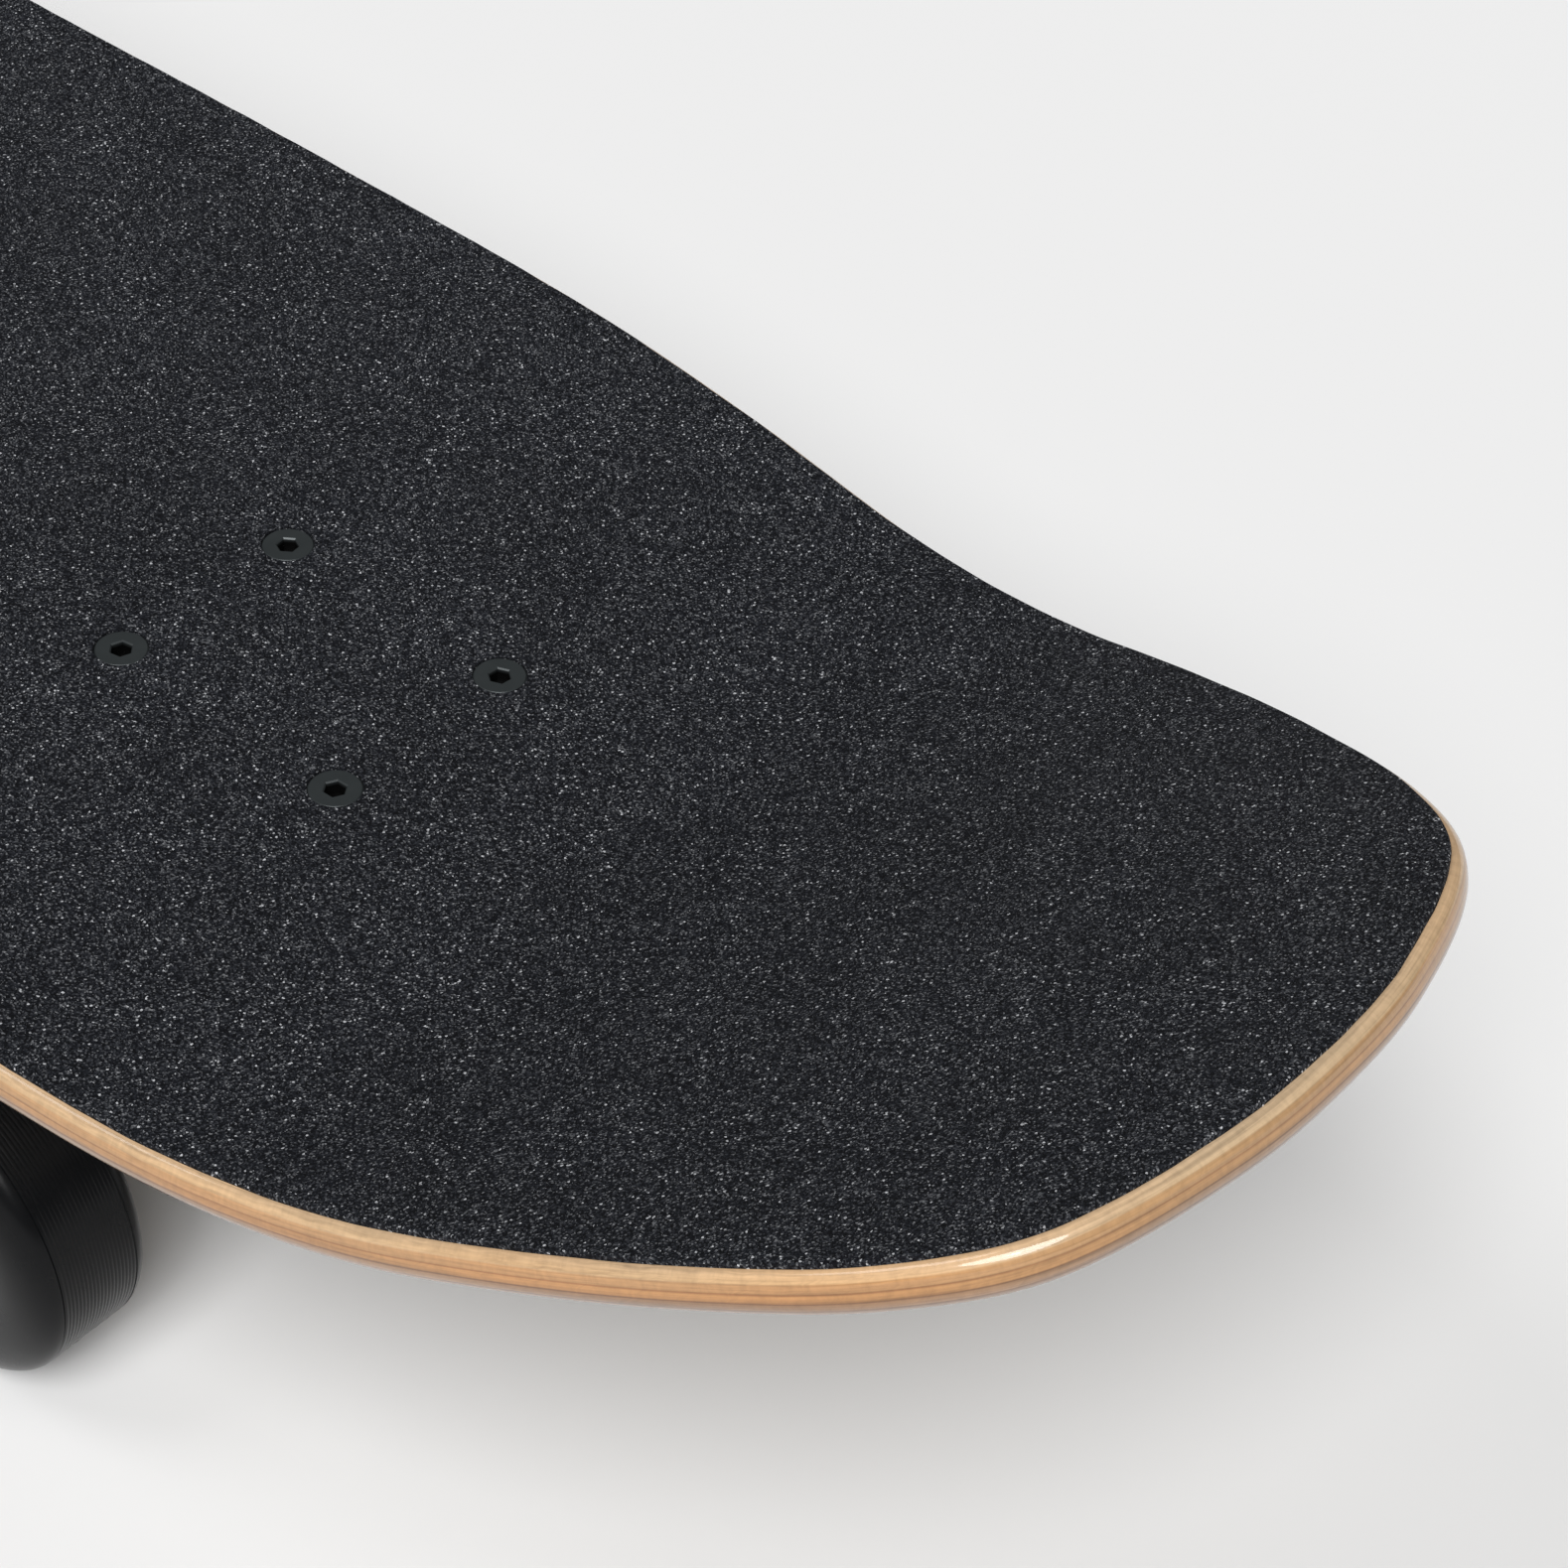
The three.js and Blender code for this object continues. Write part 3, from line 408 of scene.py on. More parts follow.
def maple_material():
    """Seven plies of lacquered maple, from what write_ply_attributes stores on the mesh, in metres."""
    s = Shader("maple", (0.6, 0.4, 0.24), 0.42,
               coat_weight=0.85, coat_roughness=0.08, specular_ior_level=0.25)
    depth, run, out = (s.attribute(name) for name in PLY_ATTRIBUTES)
    along = s.vector(s.times(run, 5), 0, 0)
    sway = s.times(s.math("SUBTRACT", s.noise(1, 2, vector=along), 0.5), 0.0006)
    share = s.math("DIVIDE", s.math("ADD", depth, sway), DECK_THICKNESS * MM)
    plies = s.ramp(share, [
        (0.0, (0.56, 0.395, 0.235)), (0.13, (0.55, 0.38, 0.215)), (0.16, (0.45, 0.265, 0.125)),
        (0.29, (0.43, 0.245, 0.11)), (0.315, (0.30, 0.14, 0.052)), (0.345, (0.45, 0.24, 0.095)),
        (0.47, (0.40, 0.21, 0.082)), (0.50, (0.18, 0.088, 0.04)), (0.53, (0.31, 0.18, 0.09)),
        (0.66, (0.33, 0.205, 0.12)), (0.69, (0.19, 0.11, 0.062)), (0.74, (0.30, 0.195, 0.125)),
        (0.86, (0.26, 0.17, 0.11)), (0.90, (0.31, 0.22, 0.15)),
    ])
    streak = s.noise(1, 5, 0.62, s.vector(s.times(run, 26), s.times(depth, 1500), s.times(out, 1500)))
    plies = s.tinted(plies, s.ramp(streak, [(0.30, 0.72), (0.5, 1.0), (0.72, 1.2)]))
    pores = s.noise(1, 3, 0.6, s.vector(s.times(run, 900), s.times(depth, 420), s.times(out, 420)))
    plies = s.tinted(plies, s.ramp(pores, [(0.3, 0.9), (0.62, 1.06)]))
    patch = s.noise(1, 2, vector=s.vector(s.times(run, 11), s.times(depth, 60), 0))
    plies = s.tinted(plies, s.ramp(patch, [(0.35, (0.93, 0.96, 1.02)), (0.65, (1.06, 0.96, 0.88))]))

    grain = s.noise(1, 6, 0.6, s.stretched((7, 260, 260)))
    figure = s.noise(1, 3, 0.5, s.stretched((2.2, 38, 38)))
    veneer = s.ramp(grain, [
        (0.28, (0.25, 0.205, 0.16)), (0.5, (0.36, 0.31, 0.25)), (0.75, (0.44, 0.385, 0.315)),
    ])
    veneer = s.tinted(veneer, s.ramp(figure, [(0.3, (0.78, 0.7, 0.62)), (0.7, (1.06, 1.03, 1.0))]), 0.55)
    flat_start = 4.4 * MM  # this far in from the edge, the face veneer shows instead of the plies
    inside = s.ramp(s.times(out, -1.0 / flat_start), [(0.82, 0.0), (1.0, 1.0)])
    return s.finish(s.mix(inside, plies, veneer), s.spread(streak, 0.34, 0.5), s.bump(streak, 0.00005, 0.6))


def urethane_material():
    s = Shader("urethane", (0.004, 0.0042, 0.0047), 0.25, specular_ior_level=0.14)
    color = s.mix(s.noise(300, 4), (0.0035, 0.0037, 0.0041), (0.0055, 0.0057, 0.0063))
    return s.finish(color, s.spread(s.noise(90, 5), 0.18, 0.34), s.bump(s.noise(2600, 2), 0.00002, 0.3))


def rubber_material(name="rubber", color=(0.017, 0.017, 0.018)):
    s = Shader(name, color, 0.7, specular_ior_level=0.35)
    tint = s.mottled(color, 160, 0.75, 1.35)
    return s.finish(tint, s.spread(s.noise(240, 4), 0.58, 0.8), s.bump(s.noise(1800, 3), 0.00006, 0.5))


def cast_material():
    """Tumbled aluminium casting: soft grain, with faint darker patches."""
    s = Shader("cast_metal", (0.55, 0.56, 0.575), 0.36, 1.0)
    color = s.ramp(s.noise(36, 5, 0.6), [
        (0.3, (0.42, 0.43, 0.445)), (0.6, (0.6, 0.61, 0.62)), (0.8, (0.68, 0.685, 0.69)),
    ])
    grit = s.noise(1500, 4, 0.65)
    return s.finish(color, s.spread(s.noise(120, 5), 0.28, 0.5), s.bump(grit, 0.00009, 0.55))


def satin(s, color, low, high):
    """Finishes a machined metal, its roughness wandering from low to high."""
    return s.finish(color, s.spread(s.noise(400, 5, 0.6), low, high), s.bump(s.noise(3200, 2), 0.00002, 0.4))


def metal_material(name, color, low, high, metallic=1.0):
    s = Shader(name, color, (low + high) / 2, metallic)
    return satin(s, s.mottled(color, 220, 0.82, 1.14), low, high)


def bolt_material():
    """The truck bolts' black oxide: worn satin on the head, and painted shade, nearly black, down in the
    socket.
    """
    s = Shader("deck_bolt", (0.048, 0.055, 0.057), 0.42, 0.5)
    level = s.node("ShaderNodeSeparateXYZ", Vector=s.place).outputs["Z"]
    depth = s.math("SUBTRACT", HEAD_TOP * MM, level)
    head = s.mix(s.noise(220, 4), (0.041, 0.048, 0.05), (0.056, 0.064, 0.066))
    # painted shade: darker from the head's top down, fully near-black a millimetre below it, to darken the
    # socket
    painted_socket_shade = s.math("MULTIPLY", depth, 1 / MM, clamp=True)
    return satin(s, s.mix(painted_socket_shade, head, (0.002, 0.002, 0.002)), 0.34, 0.5)


def case_material():
    s = Shader("case_plastic", (0.016, 0.017, 0.018), 0.55, specular_ior_level=0.45)
    pebble = s.cells(1300, "Distance")
    tint = s.mix(s.noise(60, 3), (0.013, 0.014, 0.015), (0.021, 0.022, 0.023))
    return s.finish(tint, s.spread(s.noise(500, 3), 0.46, 0.66), s.bump(pebble, 0.00012, 0.5))


def wrap_material():
    s = Shader("wrap", (0.03, 0.10, 0.26), 0.28, coat_weight=0.3)
    tint = s.mix(s.noise(90, 3), (0.025, 0.085, 0.22), (0.04, 0.125, 0.3))
    return s.finish(tint, s.spread(s.noise(200, 3), 0.22, 0.4), s.bump(s.noise(140, 3), 0.0004, 0.4))


LOOKS = {
    "maple": maple_material(),
    "grip": grip_material(),
    "rubber": rubber_material(),
    "cast_metal": cast_material(),
    "steel": metal_material("steel", (0.62, 0.62, 0.63), 0.2, 0.38),
    "black_steel": metal_material("black_steel", (0.034, 0.043, 0.046), 0.34, 0.5, 0.55),
    "deck_bolt": bolt_material(),
    "urethane": urethane_material(),
    "bushing": rubber_material("bushing", (0.022, 0.026, 0.032)),
    "black_aluminium": metal_material("black_aluminium", (0.035, 0.036, 0.038), 0.3, 0.46, 0.8),
    "copper": metal_material("copper", (0.62, 0.27, 0.13), 0.25, 0.45),
    "case_plastic": case_material(),
    "wrap": wrap_material(),
}

# ------------------------------------------------------------------ pieces

CAST_VOXEL = 0.75


def as_object(name, shape):
    points, faces = shape
    mesh = bpy.data.meshes.new(name)
    mesh.from_pydata([tuple(p) for p in np.asarray(points) * MM], [], faces)
    mesh.validate()
    made = bpy.data.objects.new(name, mesh)
    bpy.context.scene.collection.objects.link(made)
    return made


def face_outwards(made):
    """Turns the mesh's faces so that its volume is positive."""
    mesh = made.data
    mesh.calc_loop_triangles()
    points = np.array([v.co for v in mesh.vertices])
    corners = np.array([t.vertices for t in mesh.loop_triangles])
    a, b, c = (points[corners[:, i]] for i in range(3))
    if np.einsum("ij,ij->i", a, np.cross(b, c)).sum() < 0:
        mesh.flip_normals()


def settle(made):
    """Applies the object's modifiers."""
    bpy.context.view_layer.update()
    graph = bpy.context.evaluated_depsgraph_get()
    mesh = bpy.data.meshes.new_from_object(made.evaluated_get(graph))
    made.modifiers.clear()
    made.data = mesh


def combined(made, operation, *shapes):
    """Joins shapes to the object (UNION), or takes them away from it (DIFFERENCE)."""
    tools = [as_object(f"{made.name}_tool_{i}", shape) for i, shape in enumerate(shapes)]
    for tool in tools:
        face_outwards(tool)
        step = made.modifiers.new("combine", "BOOLEAN")
        step.operation = operation
        step.solver = "EXACT"
        step.object = tool
    settle(made)
    for tool in tools:
        bpy.data.objects.remove(tool)


def cut_away(made, *shapes):
    combined(made, "DIFFERENCE", *shapes)


def cast(name, shape, passes):
    """Joins overlapping shells into one skin, and softens the seams between them as a casting's are."""
    made = as_object(name, shape)
    remesh = made.modifiers.new("remesh", "REMESH")
    remesh.mode = "VOXEL"
    remesh.voxel_size = CAST_VOXEL * MM
    soften = made.modifiers.new("soften", "SMOOTH")
    soften.factor = 0.5
    soften.iterations = passes
    settle(made)
    face_outwards(made)
    return made


def dress(made, look, nodes, slot=None, sharp=38):
    """Gives a piece its material and shading, and hides the CAD nodes that it stands for."""
    mesh = made.data
    mesh.materials.clear()
    mesh.materials.append(LOOKS[look])
    mesh.polygons.foreach_set("use_smooth", [True] * len(mesh.polygons))
    mesh.set_sharp_from_angle(angle=math.radians(sharp))
    if nodes:
        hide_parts(*nodes)


def show(made, look, body, nodes=(), **options):
    """Finishes a stiff piece, which rides on one body."""
    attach(made, body)
    dress(made, look, nodes, **options)


def piece(name, shape, look, body, nodes=(), **options):
    made = as_object(name, shape)
    face_outwards(made)
    show(made, look, body, nodes, **options)


def stand_in(node, shape, look, **options):
    """A fine piece that stands for one CAD node and moves with its body."""
    piece(f"{node}_fine", shape, look, frame["nodes"][node]["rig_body"], [node], **options)


def bending(node, shape, look):
    """A piece for one CAD node, its placement baked into its mesh; it is not attached to any body."""
    made = as_object(f"{node}_fine", shape)
    face_outwards(made)
    dress(made, look, [node])
    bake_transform(made)


def board(x, y, z):
    """A point given from the middle of the wheelbase, in the frame's millimetres."""
    return Vector((x + BOARD_SHIFT, y, z))


# ------------------------------------------------------------------ deck surface


def kick_height(run):
    past = np.maximum(0, run - KICK_START)
    arc_run = KICK_RADIUS * math.sin(KICK_ANGLE)
    on_arc = KICK_RADIUS - np.sqrt(KICK_RADIUS**2 - np.minimum(past, arc_run) ** 2)
    return on_arc + np.maximum(0, past - arc_run) * math.tan(KICK_ANGLE)


def deck_height(x, y):
    run = np.abs(x) - WHEELBASE / 2
    start, length = DISH_FADE
    fade = np.clip((run - start) / length, 0, 1)
    dish = DISH_MIDDLE + (DISH_TIP - DISH_MIDDLE) * fade
    off = np.maximum(0, np.abs(y) - FLAT_HALF_WIDTH) / (MIDDLE_HALF_WIDTH - FLAT_HALF_WIDTH)
    return DECK_TOP + kick_height(run) + dish * off * off


def deck_points(x, y, depth):
    """Points at a depth below the deck's top surface, square to it."""
    step = 0.5
    slope_x = (deck_height(x + step, y) - deck_height(x - step, y)) / (2 * step)
    slope_y = (deck_height(x, y + step) - deck_height(x, y - step)) / (2 * step)
    normal = np.stack([-slope_x, -slope_y, np.ones_like(slope_x)], -1)
    normal /= np.linalg.norm(normal, axis=-1, keepdims=True)
    return np.stack([x, y, deck_height(x, y)], -1) - normal * np.asarray(depth)[..., None]


def catmull(points, steps, closed=True):
    """A centripetal Catmull-Rom curve through all the points."""
    points = np.array(points, float)
    first, last = points[0], points[-1]
    if closed:
        around = np.vstack([last, points, points[:2]])
    else:
        around = np.vstack([2 * first - points[1], points, 2 * last - points[-2]])
    curve = []
    for i in range(len(around) - 3):
        p = around[i : i + 4]
        knots = np.cumsum([0, *np.linalg.norm(np.diff(p, axis=0), axis=1) ** 0.5])
        t = np.linspace(knots[1], knots[2], steps, endpoint=False)[:, None]

        def between_knots(a, b, start, end):
            return ((knots[end] - t) * a + (t - knots[start]) * b) / (knots[end] - knots[start])

        a = [between_knots(p[k], p[k + 1], k, k + 1) for k in range(3)]
        b = [between_knots(a[k], a[k + 1], k, k + 2) for k in range(2)]
        curve.append(between_knots(b[0], b[1], 1, 2))
    return np.vstack(curve if closed else [*curve, last])


def run_length(line):
    """How far along a line each of its points is."""
    return np.concatenate([[0], np.cumsum(np.linalg.norm(np.diff(line, axis=0), axis=1))])


def outwards_of(loop):
    """Directions that point out of a clockwise loop, as long as its points' spacing makes them."""
    tangent = np.roll(loop, -1, 0) - np.roll(loop, 1, 0)
    return np.stack([-tangent[:, 1], tangent[:, 0]], 1)


def deck_outline(columns):
    """The whole edge as a loop, from the tail's tip along the left side to the nose's tip and back."""
    nose = [(x + WHEELBASE / 2, w) for x, w in NOSE_OUTLINE]
    tail = [(-(x * TAIL_REACH / NOSE_REACH if x > 0 else x) - WHEELBASE / 2, w) for x, w in NOSE_OUTLINE]
    left = tail[::-1] + [(0, MIDDLE_HALF_WIDTH)] + nose
    right = [(x, -w) for x, w in left[1:-1]][::-1]
    steps = 80
    half = catmull(left + right, steps)[: steps * (len(left) - 1) + 1]
    length = run_length(half)
    t = np.linspace(0, 1, columns + 1)
    eased = (t - END_CROWDING * np.sin(2 * np.pi * t) / (2 * np.pi)) * length[-1]
    edge = np.stack([np.interp(eased, length, half[:, 0]), np.interp(eased, length, half[:, 1])], 1)
    edge[0, 1] = edge[-1, 1] = 0
    back = edge[1:-1][::-1] * (1, -1)
    return np.vstack([edge, back])


def deck_slab(profile, columns, rows, fray=None):
    """A closed sheet on the deck's surface. The profile lists [distance outside the outline, depth]."""
    loop = deck_outline(columns)
    count = len(loop)
    outwards = outwards_of(loop)
    outwards /= np.linalg.norm(outwards, axis=1, keepdims=True)
    shake = np.zeros(count) if fray is None else fray(loop)
    outlines = [loop + outwards * (out + shake[:, None]) for out, _ in profile]
    points = [deck_points(o[:, 0], o[:, 1], np.full(count, d)) for o, (_, d) in zip(outlines, profile)]
    faces = []
    for k in range(len(profile) - 1):
        a, b = k * count, (k + 1) * count
        faces += [(a + m, a + (m + 1) % count, b + (m + 1) % count, b + m) for m in range(count)]
    total = len(profile) * count
    v = np.linspace(1, -1, rows + 1)[1:-1]
    for face in (0, len(profile) - 1):
        o = outlines[face][1:columns]
        x = np.repeat(o[:, 0], rows - 1)
        y = (o[:, 1][:, None] * v).ravel()
        points.append(deck_points(x, y, np.full(len(x), profile[face][1])))
        ring = face * count

        def at(i, j):
            if i in (0, columns) or j == 0:
                return ring + i
            if j == rows:
                return ring + count - i
            return total + (i - 1) * (rows - 1) + j - 1

        for i in range(columns):
            for j in range(rows):
                quad = []
                for index in (at(i, j), at(i, j + 1), at(i + 1, j + 1), at(i + 1, j)):
                    if index not in quad:
                        quad.append(index)
                if len(quad) > 2:
                    faces.append(tuple(quad if face == 0 else quad[::-1]))
        total += len(x)
    return np.vstack(points) + (BOARD_SHIFT, 0, 0), faces


def write_ply_attributes(made):
    """Stores how deep each point lies in the plies, how far along the edge, and how far outside it."""
    mesh = made.data
    points = np.array([v.co for v in mesh.vertices]) / MM - (BOARD_SHIFT, 0, 0)
    loop = deck_outline(400)
    nearest = np.zeros(len(points), int)
    away = np.zeros(len(points))
    batch = 4000
    for start in range(0, len(points), batch):
        part = slice(start, start + batch)
        squares = ((points[part, None, :2] - loop[None]) ** 2).sum(-1)
        nearest[part] = squares.argmin(1)
        away[part] = np.sqrt(squares.min(1))
    side = np.sign(((points[:, :2] - loop[nearest]) * outwards_of(loop)[nearest]).sum(1))
    x, y, z = points.T
    slope = deck_height(x + 0.5, y) - deck_height(x - 0.5, y)
    depth = (deck_height(x, y) - z) / np.sqrt(1 + slope**2)
    for name, values in zip(PLY_ATTRIBUTES, (depth, run_length(loop)[nearest], side * away)):
        attribute = mesh.attributes.new(name, "FLOAT", "POINT")
        attribute.data.foreach_set("value", (values * MM).astype(np.float32))


ENDS = (("front", 1), ("rear", -1))


def bolt_centres():
    return [(i * BOLT_SPACING[0] / 2, j * BOLT_SPACING[1] / 2) for i in (-1, 1) for j in (-1, 1)]


def upright(x, y, z):
    """Stands a shape's Y axis up at a point given from the middle of the wheelbase."""
    return Matrix.Translation(board(x, y, z)) @ UPRIGHT


def bolt_tools(bottom):
    """Clearance for every truck bolt and its countersunk head."""
    shank, head = 2.7, 5.0
    outline = [(0, bottom), (shank, bottom), (shank, HEAD_TOP - 3), (head, HEAD_TOP - 0.5),
               (head, HEAD_TOP + 3), (0, HEAD_TOP + 3)]
    return [placed(lathe(outline, 48), upright(side * WHEELBASE / 2 + x, y, 0))
            for _, side in ENDS for x, y in bolt_centres()]


def edge_profile():
    """Rounded a little above, with a thin flat, and more below."""
    bulge, top_drop, under_width, under_drop = 1.9, 2.8, 5.5, 5.7
    quarter = [math.pi / 2 * k / 8 for k in range(9)]
    above = [(bulge * math.sin(a), top_drop * (1 - math.cos(a))) for a in quarter]
    below = [(bulge - under_width * (1 - math.cos(a)), DECK_THICKNESS - under_drop * (1 - math.sin(a)))
             for a in quarter]
    return above + below


deck = as_object("deck_plies", deck_slab(edge_profile(), 300, 40))
face_outwards(deck)
cut_away(deck, *bolt_tools(DECK_BOTTOM - 5))
write_ply_attributes(deck)
show(deck, "maple", "deck", ["deck"], sharp=50)


def fray(loop):
    """The trimmed tape's edge wanders by a few hundredths of a millimetre."""
    a = np.arctan2(loop[:, 1], loop[:, 0])
    return 0.05 * np.sin(61 * a) + 0.04 * np.sin(143 * a + 1.3) + 0.03 * np.sin(301 * a + 0.4)


lift = -GAP - GRIP_THICKNESS
grip_profile = [(-0.5, lift), (-0.25, lift + 0.06), (-0.12, lift + 0.3), (-0.1, -0.02), (-0.3, -0.01)]
grip = as_object("grip_sheet", deck_slab(grip_profile, 300, 40, fray))
face_outwards(grip)
cut_away(grip, *bolt_tools(DECK_BOTTOM))
show(grip, "grip", "deck", ["grip_tape"])

# ------------------------------------------------------------------ screws, nuts and threads


def threaded(radius, low, high, pitch, sides=32):
    """Rings of a helical thread, from low to high."""
    deep = 0.28 * pitch
    steps = max(2, round((high - low) / pitch * 5))
    rings = []
    for k in range(steps + 1):
        y = low + (high - low) * k / steps
        ring = []
        for i in range(sides):
            a = 2 * math.pi * i / sides
            wave = abs(2 * ((y / pitch - i / sides) % 1) - 1)
            r = radius - deep * wave
            ring.append((r * math.sin(a), y, r * math.cos(a)))
        rings.append(ring)
    return rings


def hex_rim(across_flats, y, lean, sides):
    """A chamfered nut's rim, its corners turned away from the side that lean (1 or -1) points to."""
    inner = 0.96 * across_flats / 2
    rim = []
    for x, _, z in hex_ring(across_flats, y, sides):
        rim.append((x, y - lean * (math.hypot(x, z) - inner) * math.tan(math.radians(30)), z))
    return rim


def hex_nut(across_flats, hole, low, high, collar=0.0, sides=96):
    """A nut about Y. A locking collar, if any, is part of its height."""
    top = high - collar
    rings = [
        circle_ring(hole + 0.5, low, sides), circle_ring(0.48 * across_flats, low, sides),
        hex_rim(across_flats, low, -1, sides), hex_rim(across_flats, top, 1, sides),
        circle_ring(0.46 * across_flats, top, sides),
    ]
    if collar:
        shoulder = 0.44 * across_flats
        rings += [
            circle_ring(shoulder, top, sides), circle_ring(shoulder, high - 0.5, sides),
            circle_ring(shoulder - 0.4, high - 0.1, sides), circle_ring(shoulder - 0.8, high, sides),
        ]
    rings += [circle_ring(hole + 0.5, high, sides), circle_ring(hole, high - 0.5, sides),
              circle_ring(hole, low + 0.5, sides)]
    return lofted(rings, close=True)


def socket_head(outline, across_flats, deep, turn=0.0, sides=72):
    """A turned head with a hexagon socket in its top. The outline ends on the rim of the top face."""
    top = outline[-1][1]
    rings = [circle_ring(r, y, sides) for r, y in outline]
    rings += [
        hex_ring(across_flats + 0.5, top, sides, turn), hex_ring(across_flats, top - 0.25, sides, turn),
        hex_ring(across_flats, top - deep, sides, turn),
    ]
    return lofted(rings)


def deck_bolt(turn):
    shank = [circle_ring(1.9, -32.3, 32), *threaded(2.42, -32.0, -4.0, 0.8), circle_ring(2.4, -3.2, 32)]
    head = [(2.4, -3.2), (4.8, -0.62), (4.95, -0.5), (4.95, -0.34), (4.62, 0.0)]
    return joined(lofted(shank), socket_head(head, 3.6, 2.9, turn))


DOWNWARDS = Matrix.Rotation(-math.pi / 2, 4, "X")
NUT_SEAT = BASEPLATE_TOP - 5.5 - GAP  # underside of the baseplate
RISER_LEVELS = ((0.5, 0), (0.1, 0.2), (0, 0.6), (0, 2.4), (0.1, 2.8), (0.5, 3.0))  # inset, height
SOCKET_TURNS = (0.2, 0.65, 0.05, 0.42)
for end, side in ENDS:
    for i, (x, y) in enumerate(bolt_centres()):
        centre = (side * WHEELBASE / 2 + x, y)
        bolt = placed(deck_bolt(SOCKET_TURNS[i]), upright(*centre, HEAD_TOP))
        stand_in(f"{end}_bolt_{i + 1}", bolt, "deck_bolt", slot="black_steel", sharp=30)
        low = Matrix.Translation(board(*centre, NUT_SEAT)) @ DOWNWARDS
        piece(f"{end}_lock_nut_{i + 1}", placed(hex_nut(8.0, 2.6, 0, 6.2, 1.6), low), "steel", "deck")

    rings = [[(*p, z) for p in rounded_rectangle(88 - 2 * inset, 58 - 2 * inset, 6 - inset)]
             for inset, z in RISER_LEVELS]
    at_bolts = Matrix.Translation(board(side * WHEELBASE / 2, 0, RISER_TOP - 3))
    pad = as_object(f"{end}_riser_fine", placed(lofted(rings), at_bolts))
    face_outwards(pad)
    hole = lathe([(0, -5), (2.75, -5), (2.75, 5), (0, 5)], 48)
    cut_away(pad, *[placed(hole, upright(side * WHEELBASE / 2 + x, y, RISER_TOP - 1.5))
                    for x, y in bolt_centres()])
    show(pad, "rubber", "deck", [f"{end}_riser_pad"])

# ------------------------------------------------------------------ trucks


def on_kingpin(distance):
    return RING_CENTRE + KINGPIN_UP * distance


def on_stem(distance):
    return PIVOT + STEM_UP * distance


def truck_place(end):
    side = dict(ENDS)[end]
    turn = Matrix.Identity(4) if side > 0 else Matrix.Rotation(math.pi, 4, "Z")
    return Matrix.Translation(board(side * WHEELBASE / 2, 0, WHEEL_RADIUS)) @ turn


def rib_shape(outline, thickness):
    """An outline of [along, up] points, thickened to both sides of the XZ plane."""
    return placed(prism(outline, -thickness / 2, thickness / 2), UPRIGHT)


def baseplate_shape():
    levels = ((0.9, TRUCK_HEIGHT - 5.5), (0, TRUCK_HEIGHT - 4.5), (0, TRUCK_HEIGHT + 3))
    shapes = [
        lofted([[(x + 1, y, z) for x, y in rounded_rectangle(86 - 2 * inset, 56 - 2 * inset, 7 - inset)]
                for inset, z in levels]),
        between(on_kingpin(19.6), on_kingpin(36), 13, 16),
        between(on_stem(0.2), on_stem(18), 11, 13),
        rib_shape([(-14, 48), (-8, 38.5), (6, 38), (18, 40), (30, 41), (34, 48)], 13),
    ]
    for x, y in bolt_centres():
        shapes.append(between((x, y, TRUCK_HEIGHT - 5.9), (x, y, TRUCK_HEIGHT), 6.4, 7.4))
    for j in (-1, 1):
        gusset = rib_shape([(-3, 47), (-3, 41.5), (14, 43.5), (26, 47)], 3)
        shapes.append(placed(gusset, Matrix.Translation((2, j * 9, 0)) @ Matrix.Rotation(j * 0.5, 4, "Z")))
        shapes.append(between(on_kingpin(24), (-32, j * 20, TRUCK_HEIGHT - 2), 3.4, 2))
    return joined(*shapes)


def hanger_shape(half, bore, end):
    tip = bore + 2.4
    outline = [(0, -half), (tip, -half), (tip + 0.4, -half + 4), (8.6, -half + 14), (10.5, -24),
               (10.5, 24), (8.6, half - 14), (tip + 0.4, half - 4), (tip, half), (0, half)]
    web = [(-15, 0), (-16, 7), (8 - half, 17), (8 - half, 25),
           (half - 8, 25), (half - 8, 17), (16, 7), (15, 0)]
    basis = Matrix((Y_AXIS, RING_OUT, KINGPIN_UP)).transposed().to_4x4()
    plate = placed(prism(web, -3.1, 3.1), Matrix.Translation(RING_CENTRE) @ basis)
    shapes = [
        lathe(rounded(outline, 3, 4), 96),
        between(on_kingpin(-3.3), on_kingpin(3.3), 15.6),
        plate,
        between(on_stem(-42), on_stem(0), 9.6, 5.3),
        ball(PIVOT, 6.1),
        between((-2, 0, 2), RING_CENTRE + RING_OUT * 12, 9, 7.5),
    ]
    for j in (-1, 1):
        brace_end = RING_CENTRE + RING_OUT * 15 + Y_AXIS * j * 10
        shapes.append(between((0, j * (half - 16), 0), brace_end, 4.5, 3.4))
        if end == "rear":
            shapes.append(between((-4, j * GLAND_Y, 0), (-14, j * GLAND_Y, 0), 6.1, 5.2))
    return joined(*shapes)


def kingpin_shape():
    pin = [circle_ring(3.9, -23.5, 32), *threaded(KINGPIN_RADIUS, -23.1, -9.0, 1.06)]
    pin += [circle_ring(KINGPIN_RADIUS, y, 32) for y in (-8.6, 27.2)]
    head = [circle_ring(6.2, 27, 96), hex_rim(14.3, 27, -1, 96), hex_rim(14.3, 32.5, 1, 96),
            circle_ring(6.2, 32.5, 96)]
    return joined(lofted(pin), lofted(head))


def axle_shape(radius):
    shoulder = NUT_FACE - 0.5
    rings = [circle_ring(3.3, -AXLE_HALF, 32), *threaded(4.0, -AXLE_HALF + 0.5, -shoulder, 1.06)]
    rings += [circle_ring(radius, y, 32) for y in (-shoulder + 0.3, shoulder - 0.3)]
    rings += threaded(4.0, shoulder, AXLE_HALF - 0.5, 1.06)
    return lofted([*rings, circle_ring(3.3, AXLE_HALF, 32)])


